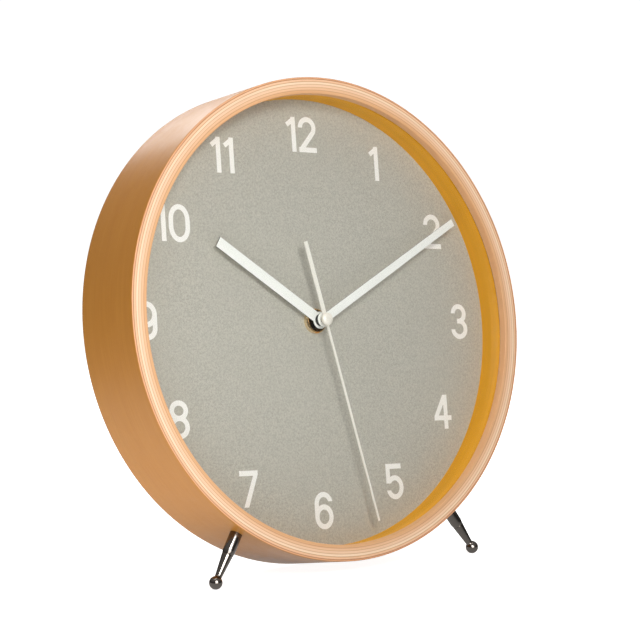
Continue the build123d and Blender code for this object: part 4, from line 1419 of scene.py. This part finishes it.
@dataclass
class MovementBack(Assembly):
    """What the movement's back carries: thumb ring, setting arrow, the cell's signs and a pad."""

    relief: float = 0.42
    eased: float = 0.09
    ring: tuple[float, float] = (2.3, 3.4)
    ring_slope: float = 0.1
    ring_height: float = 0.08
    ring_round: float = 0.04
    arrow_radius: float = 7.2
    arrow_width: float = 0.8
    arrow_head: float = 2.3
    arrow_span: tuple[float, float] = (48, 122)
    sign_size: float = 2.8
    sign_stroke: float = 0.7
    sign_reach: float = 21.0
    sign_height: float = -8.6
    pad: tuple[float, float] = (34.0, 11.0)
    pad_height: float = 17.0
    pad_corner: float = 1.6

    def raise_up(self, name: str, outline: np.ndarray, hub: np.ndarray) -> None:
        """Raise an outline from the cover's back, turned a little clockwise with the dial.

        Args:
            name: the piece's name.
            outline: (right, up) rows about the hub, in millimetres.
            hub: where it goes, right and up.
        """
        c, s = cos(DIAL_TURN), sin(DIAL_TURN)
        turned = outline @ np.array([(c, -s), (s, c)]) + hub
        back, black = drum.rear_face("movement_cover"), self.paints["black_polished"]
        piece = prism(name, turned, back - SEATED, back + self.relief, black, self.eased)
        self.place(piece, "case", "black_moulding")

    def arrow(self) -> np.ndarray:
        """An arc of even width that ends in a three-cornered head."""
        angles = np.radians(np.linspace(*self.arrow_span, 25))[:, None]
        arc = np.hstack([np.cos(angles), np.sin(angles)])
        middle, reach = self.arrow_radius, self.arrow_head / 2
        outer, inner = (middle + side * self.arrow_width / 2 for side in (1, -1))
        tip = angles[-1, 0] + self.arrow_head / middle
        point = np.array([cos(tip), sin(tip)]) * middle
        head = [arc[-1] * (middle + reach), point, arc[-1] * (middle - reach)]
        return np.vstack([arc * outer, head, arc[::-1] * inner])

    def plus(self) -> np.ndarray:
        """A cross of two equal bars: one corner's three points, turned by quarters."""
        long, thin = self.sign_size / 2, self.sign_stroke / 2
        arm = np.array([(-thin, -thin), (-thin, -long), (thin, -long)])
        quarter = np.array([(0, 1), (-1, 0)])
        return np.vstack([arm @ np.linalg.matrix_power(quarter, turns) for turns in range(4)])

    def build_ring(self) -> None:
        """The ring on the setting knob that a thumb turns it by."""
        knob, face = drum.middle("setting_knob"), drum.rear_face("setting_knob")
        (inner, outer), slope, top = self.ring, self.ring_slope, self.ring_height
        corners = [(inner, -SEATED), (outer, -SEATED), (outer - slope, top), (inner + slope, top)]
        profile = rounded(corners, (0, 0, self.ring_round, self.ring_round), 3)
        hub, black = (knob[0], face, knob[2]), self.paints["gear_black"]
        ring = turned("knob_ring", profile, hub, Way.REARWARD.value, black, ring=True)
        self.place(ring, "setting", "gear_black")

    def build(self) -> None:
        """Build the ring, the arrow, both signs and the pad."""
        self.build_ring()
        knob, middle = (drum.middle(node)[[0, 2]] for node in ("setting_knob", "movement_cover"))
        self.raise_up("setting_arrow", self.arrow(), knob)
        bar = np.array(box_corners(self.sign_size / 2, self.sign_stroke / 2))
        for name, outline, side in (("plus_sign", self.plus(), 1), ("minus_sign", bar, -1)):
            self.raise_up(name, outline + (side * self.sign_reach, self.sign_height), middle)
        corners = box_corners(self.pad[0] / 2, self.pad[1] / 2)
        pad = rounded(corners, (self.pad_corner,) * 4) + (0.0, self.pad_height)
        self.raise_up("blank_pad", pad, middle)


# ---- floor, lamps and camera


def bearing(azimuth: float, elevation: float) -> np.ndarray:
    """The direction at an azimuth from straight ahead and a height, both in radians."""
    across = cos(elevation)
    return np.array([sin(azimuth) * across, -cos(azimuth) * across, sin(elevation)])


@dataclass(frozen=True)
class Lamp:
    """A square soft lamp: bearing and height in degrees, distance and side in metres, watts."""

    name: str
    azimuth: float
    elevation: float
    distance: float
    side: float
    power: float
    colour: Colour = (1.0, 0.99, 0.97)
    lights_matt: bool = True


@dataclass
class Studio:
    """A pale floor, soft lamps and the camera.

    The camera's numbers are in the drum's frame: radians, and millimetres for its distance and
    aim. The floor's are in metres.
    """

    azimuth: float = radians(-38.1)
    elevation: float = radians(-3.55)
    roll: float = radians(-5.76)
    distance: float = 904.18
    aim: tuple[float, float, float] = (-9.13, 0.0, -0.86)
    lens: float = 124.6
    sensor: float = 36.0
    clip: tuple[float, float] = (0.05, 30.0)
    floor_radius: float = 6.0
    floor_glow: float = 0.93
    floor_mirrored: float = 0.12
    left_bounce: float = 1.2
    near_sheen: float = 0.75
    sheen_centre: tuple[float, float, float] = (-0.02, 0.15, 0.0)
    sheen_fade: tuple[float, float] = (0.13, 0.30)
    bounce_near: tuple[float, float] = (-0.05, -0.12)
    bounce_far: tuple[float, float] = (-0.32, -0.18)
    room_level: tuple[float, float] = (0.07, 0.40)
    room_tone: Colour = (1.0, 0.98, 0.96)
    backdrop: float = 1.05
    lamps: tuple[Lamp, ...] = (
        Lamp("front_soft_box", -25.0, 22.0, 0.62, 0.20, 2.48, (1.0, 0.99, 0.975)),
        Lamp("overhead_soft_box", -70.0, 74.0, 1.0, 0.6, 1.6),
        Lamp("rear_soft_box", 162.0, 34.0, 1.3, 0.5, 3.0, (1.0, 0.99, 0.98)),
        Lamp("top_soft_box", 170.0, 84.0, 0.9, 0.5, 3.4),
        Lamp("leg_card", -20.0, 8.0, 1.3, 1.0, 17.0, (1.0, 0.99, 0.98), lights_matt=False),
    )

    def floor_paint(self) -> Material:
        """Matt white that glows: evenly for the camera, and in patches for what stands on it."""
        paint = bpy.data.materials.new("floor_white")
        tree = bare_tree(paint)
        place = tree.add("TexCoord").outputs["Object"]
        path, kinds = tree.add("LightPath").outputs, ("Camera", "Diffuse", "Glossy")
        seen, spread, mirrored = (path[f"Is {kind} Ray"] for kind in kinds)
        mottle = tree.fit(tree.noise(place, even(0.02), 3.0), 0.3, 0.7, 0.74, 0.76)
        tone = tree.times(mottle, tree.fit(mirrored, 0.0, 1.0, 1.0, self.floor_mirrored))
        grey = tree.add("CombineColor", {0: tone, 1: tone, 2: tone}).outputs[0]
        matt = tree.add("BsdfDiffuse", {0: grey}).outputs[0]
        x = tree.split(place)[0]
        beside = tree.times(tree.fit(x, *self.bounce_near), tree.fit(x, *self.bounce_far))
        bounce = tree.times(tree.times(spread, beside), self.left_bounce)
        behind = tree.moved(place, self.sheen_centre)
        away = tree.add("VectorMath", {0: behind}, operation="LENGTH").outputs["Value"]
        sheen = tree.times(mirrored, tree.fit(away, *self.sheen_fade, self.near_sheen, 0.0))
        strength = tree.plus(tree.times(seen, self.floor_glow), tree.plus(bounce, sheen))
        glow = tree.add("Emission", {"Color": rgba(even(1)), "Strength": strength}).outputs[0]
        both = tree.add("AddShader", {0: matt, 1: glow}).outputs[0]
        tree.add("OutputMaterial", {"Surface": both})
        return paint

    def build_floor(self) -> None:
        """A wide round floor on the model's own ground."""
        turn = np.linspace(0, FULL_TURN, 64, endpoint=False)
        rim = np.column_stack([np.cos(turn), np.sin(turn), np.zeros(64)]) * self.floor_radius
        mesh = bpy.data.meshes.new("floor")
        mesh.from_pydata(rim.tolist(), [], [list(range(64))])
        mesh.materials.append(self.floor_paint())
        show("floor", mesh)

    def build_world(self) -> None:
        """White beyond the floor for the camera, and a dim even room for everything else."""
        world = bpy.data.worlds.new("studio")
        bpy.context.scene.world = world
        tree = bare_tree(world)
        seen = tree.add("LightPath").outputs["Is Camera Ray"]
        up = tree.split(tree.add("TexCoord").outputs["Generated"])[2]
        level = tree.fit(up, 0.05, 0.9, *self.room_level)
        room, white = (
            tree.add("Background", {"Color": rgba(tone), "Strength": strength}).outputs[0]
            for tone, strength in ((self.room_tone, level), (even(1), self.backdrop))
        )
        both = tree.add("MixShader", {0: seen, 1: room, 2: white}).outputs[0]
        tree.add("OutputWorld", {"Surface": both})

    def build_lamps(self) -> None:
        """Square soft lamps, each aimed at the drum's middle."""
        target = Vector(drum.world(np.array([0.0, drum.depth / 2, 0.0])))
        for lamp in self.lamps:
            back = Vector(bearing(radians(lamp.azimuth), radians(lamp.elevation)))
            data = bpy.data.lights.new(lamp.name, "AREA")
            data.shape, data.size = "SQUARE", lamp.side
            data.energy, data.color = lamp.power, lamp.colour
            turn = back.to_track_quat("Z", "Y").to_matrix().to_4x4()
            made = show(lamp.name, data)
            made.visible_diffuse = lamp.lights_matt
            made.matrix_world = Matrix.Translation(target + back * lamp.distance) @ turn

    def build_camera(self) -> None:
        """The camera, placed in the drum's frame by its bearing, height and small roll."""
        back = bearing(self.azimuth, self.elevation)
        side = np.cross((0.0, 0.0, 1.0), back)
        side /= np.linalg.norm(side)
        top = np.cross(back, side)
        c, s = cos(self.roll), sin(self.roll)
        rows = (c * side + s * top, c * top - s * side, back)
        turn = np.column_stack([row @ drum.axes for row in rows])
        place = drum.world(np.array(self.aim) + back * self.distance)
        data = bpy.data.cameras.new("camera")
        data.lens, data.sensor_width = self.lens, self.sensor
        data.clip_start, data.clip_end = self.clip
        camera = show("camera", data)
        camera.matrix_world = Matrix.Translation(Vector(place)) @ Matrix(turn.tolist()).to_4x4()
        bpy.context.scene.camera = camera

    def build(self) -> None:
        """Build the camera, the floor, the room and the lamps."""
        bpy.context.scene.view_settings.view_transform = "Standard"
        self.build_camera()
        self.build_floor()
        self.build_world()
        self.build_lamps()


def main() -> None:
    """Build the clock's looks and its studio."""
    logging.basicConfig(level=logging.INFO, format="%(message)s")
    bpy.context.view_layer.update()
    Studio().build()
    paints = Paintbox()
    paints.dress_nodes()
    for assembly in (Drum, Legs, HandFittings, Battery, MovementBack):
        log.info("building %s", assembly.__name__)
        assembly(paints).build()


if __name__ == "__main__":
    main()
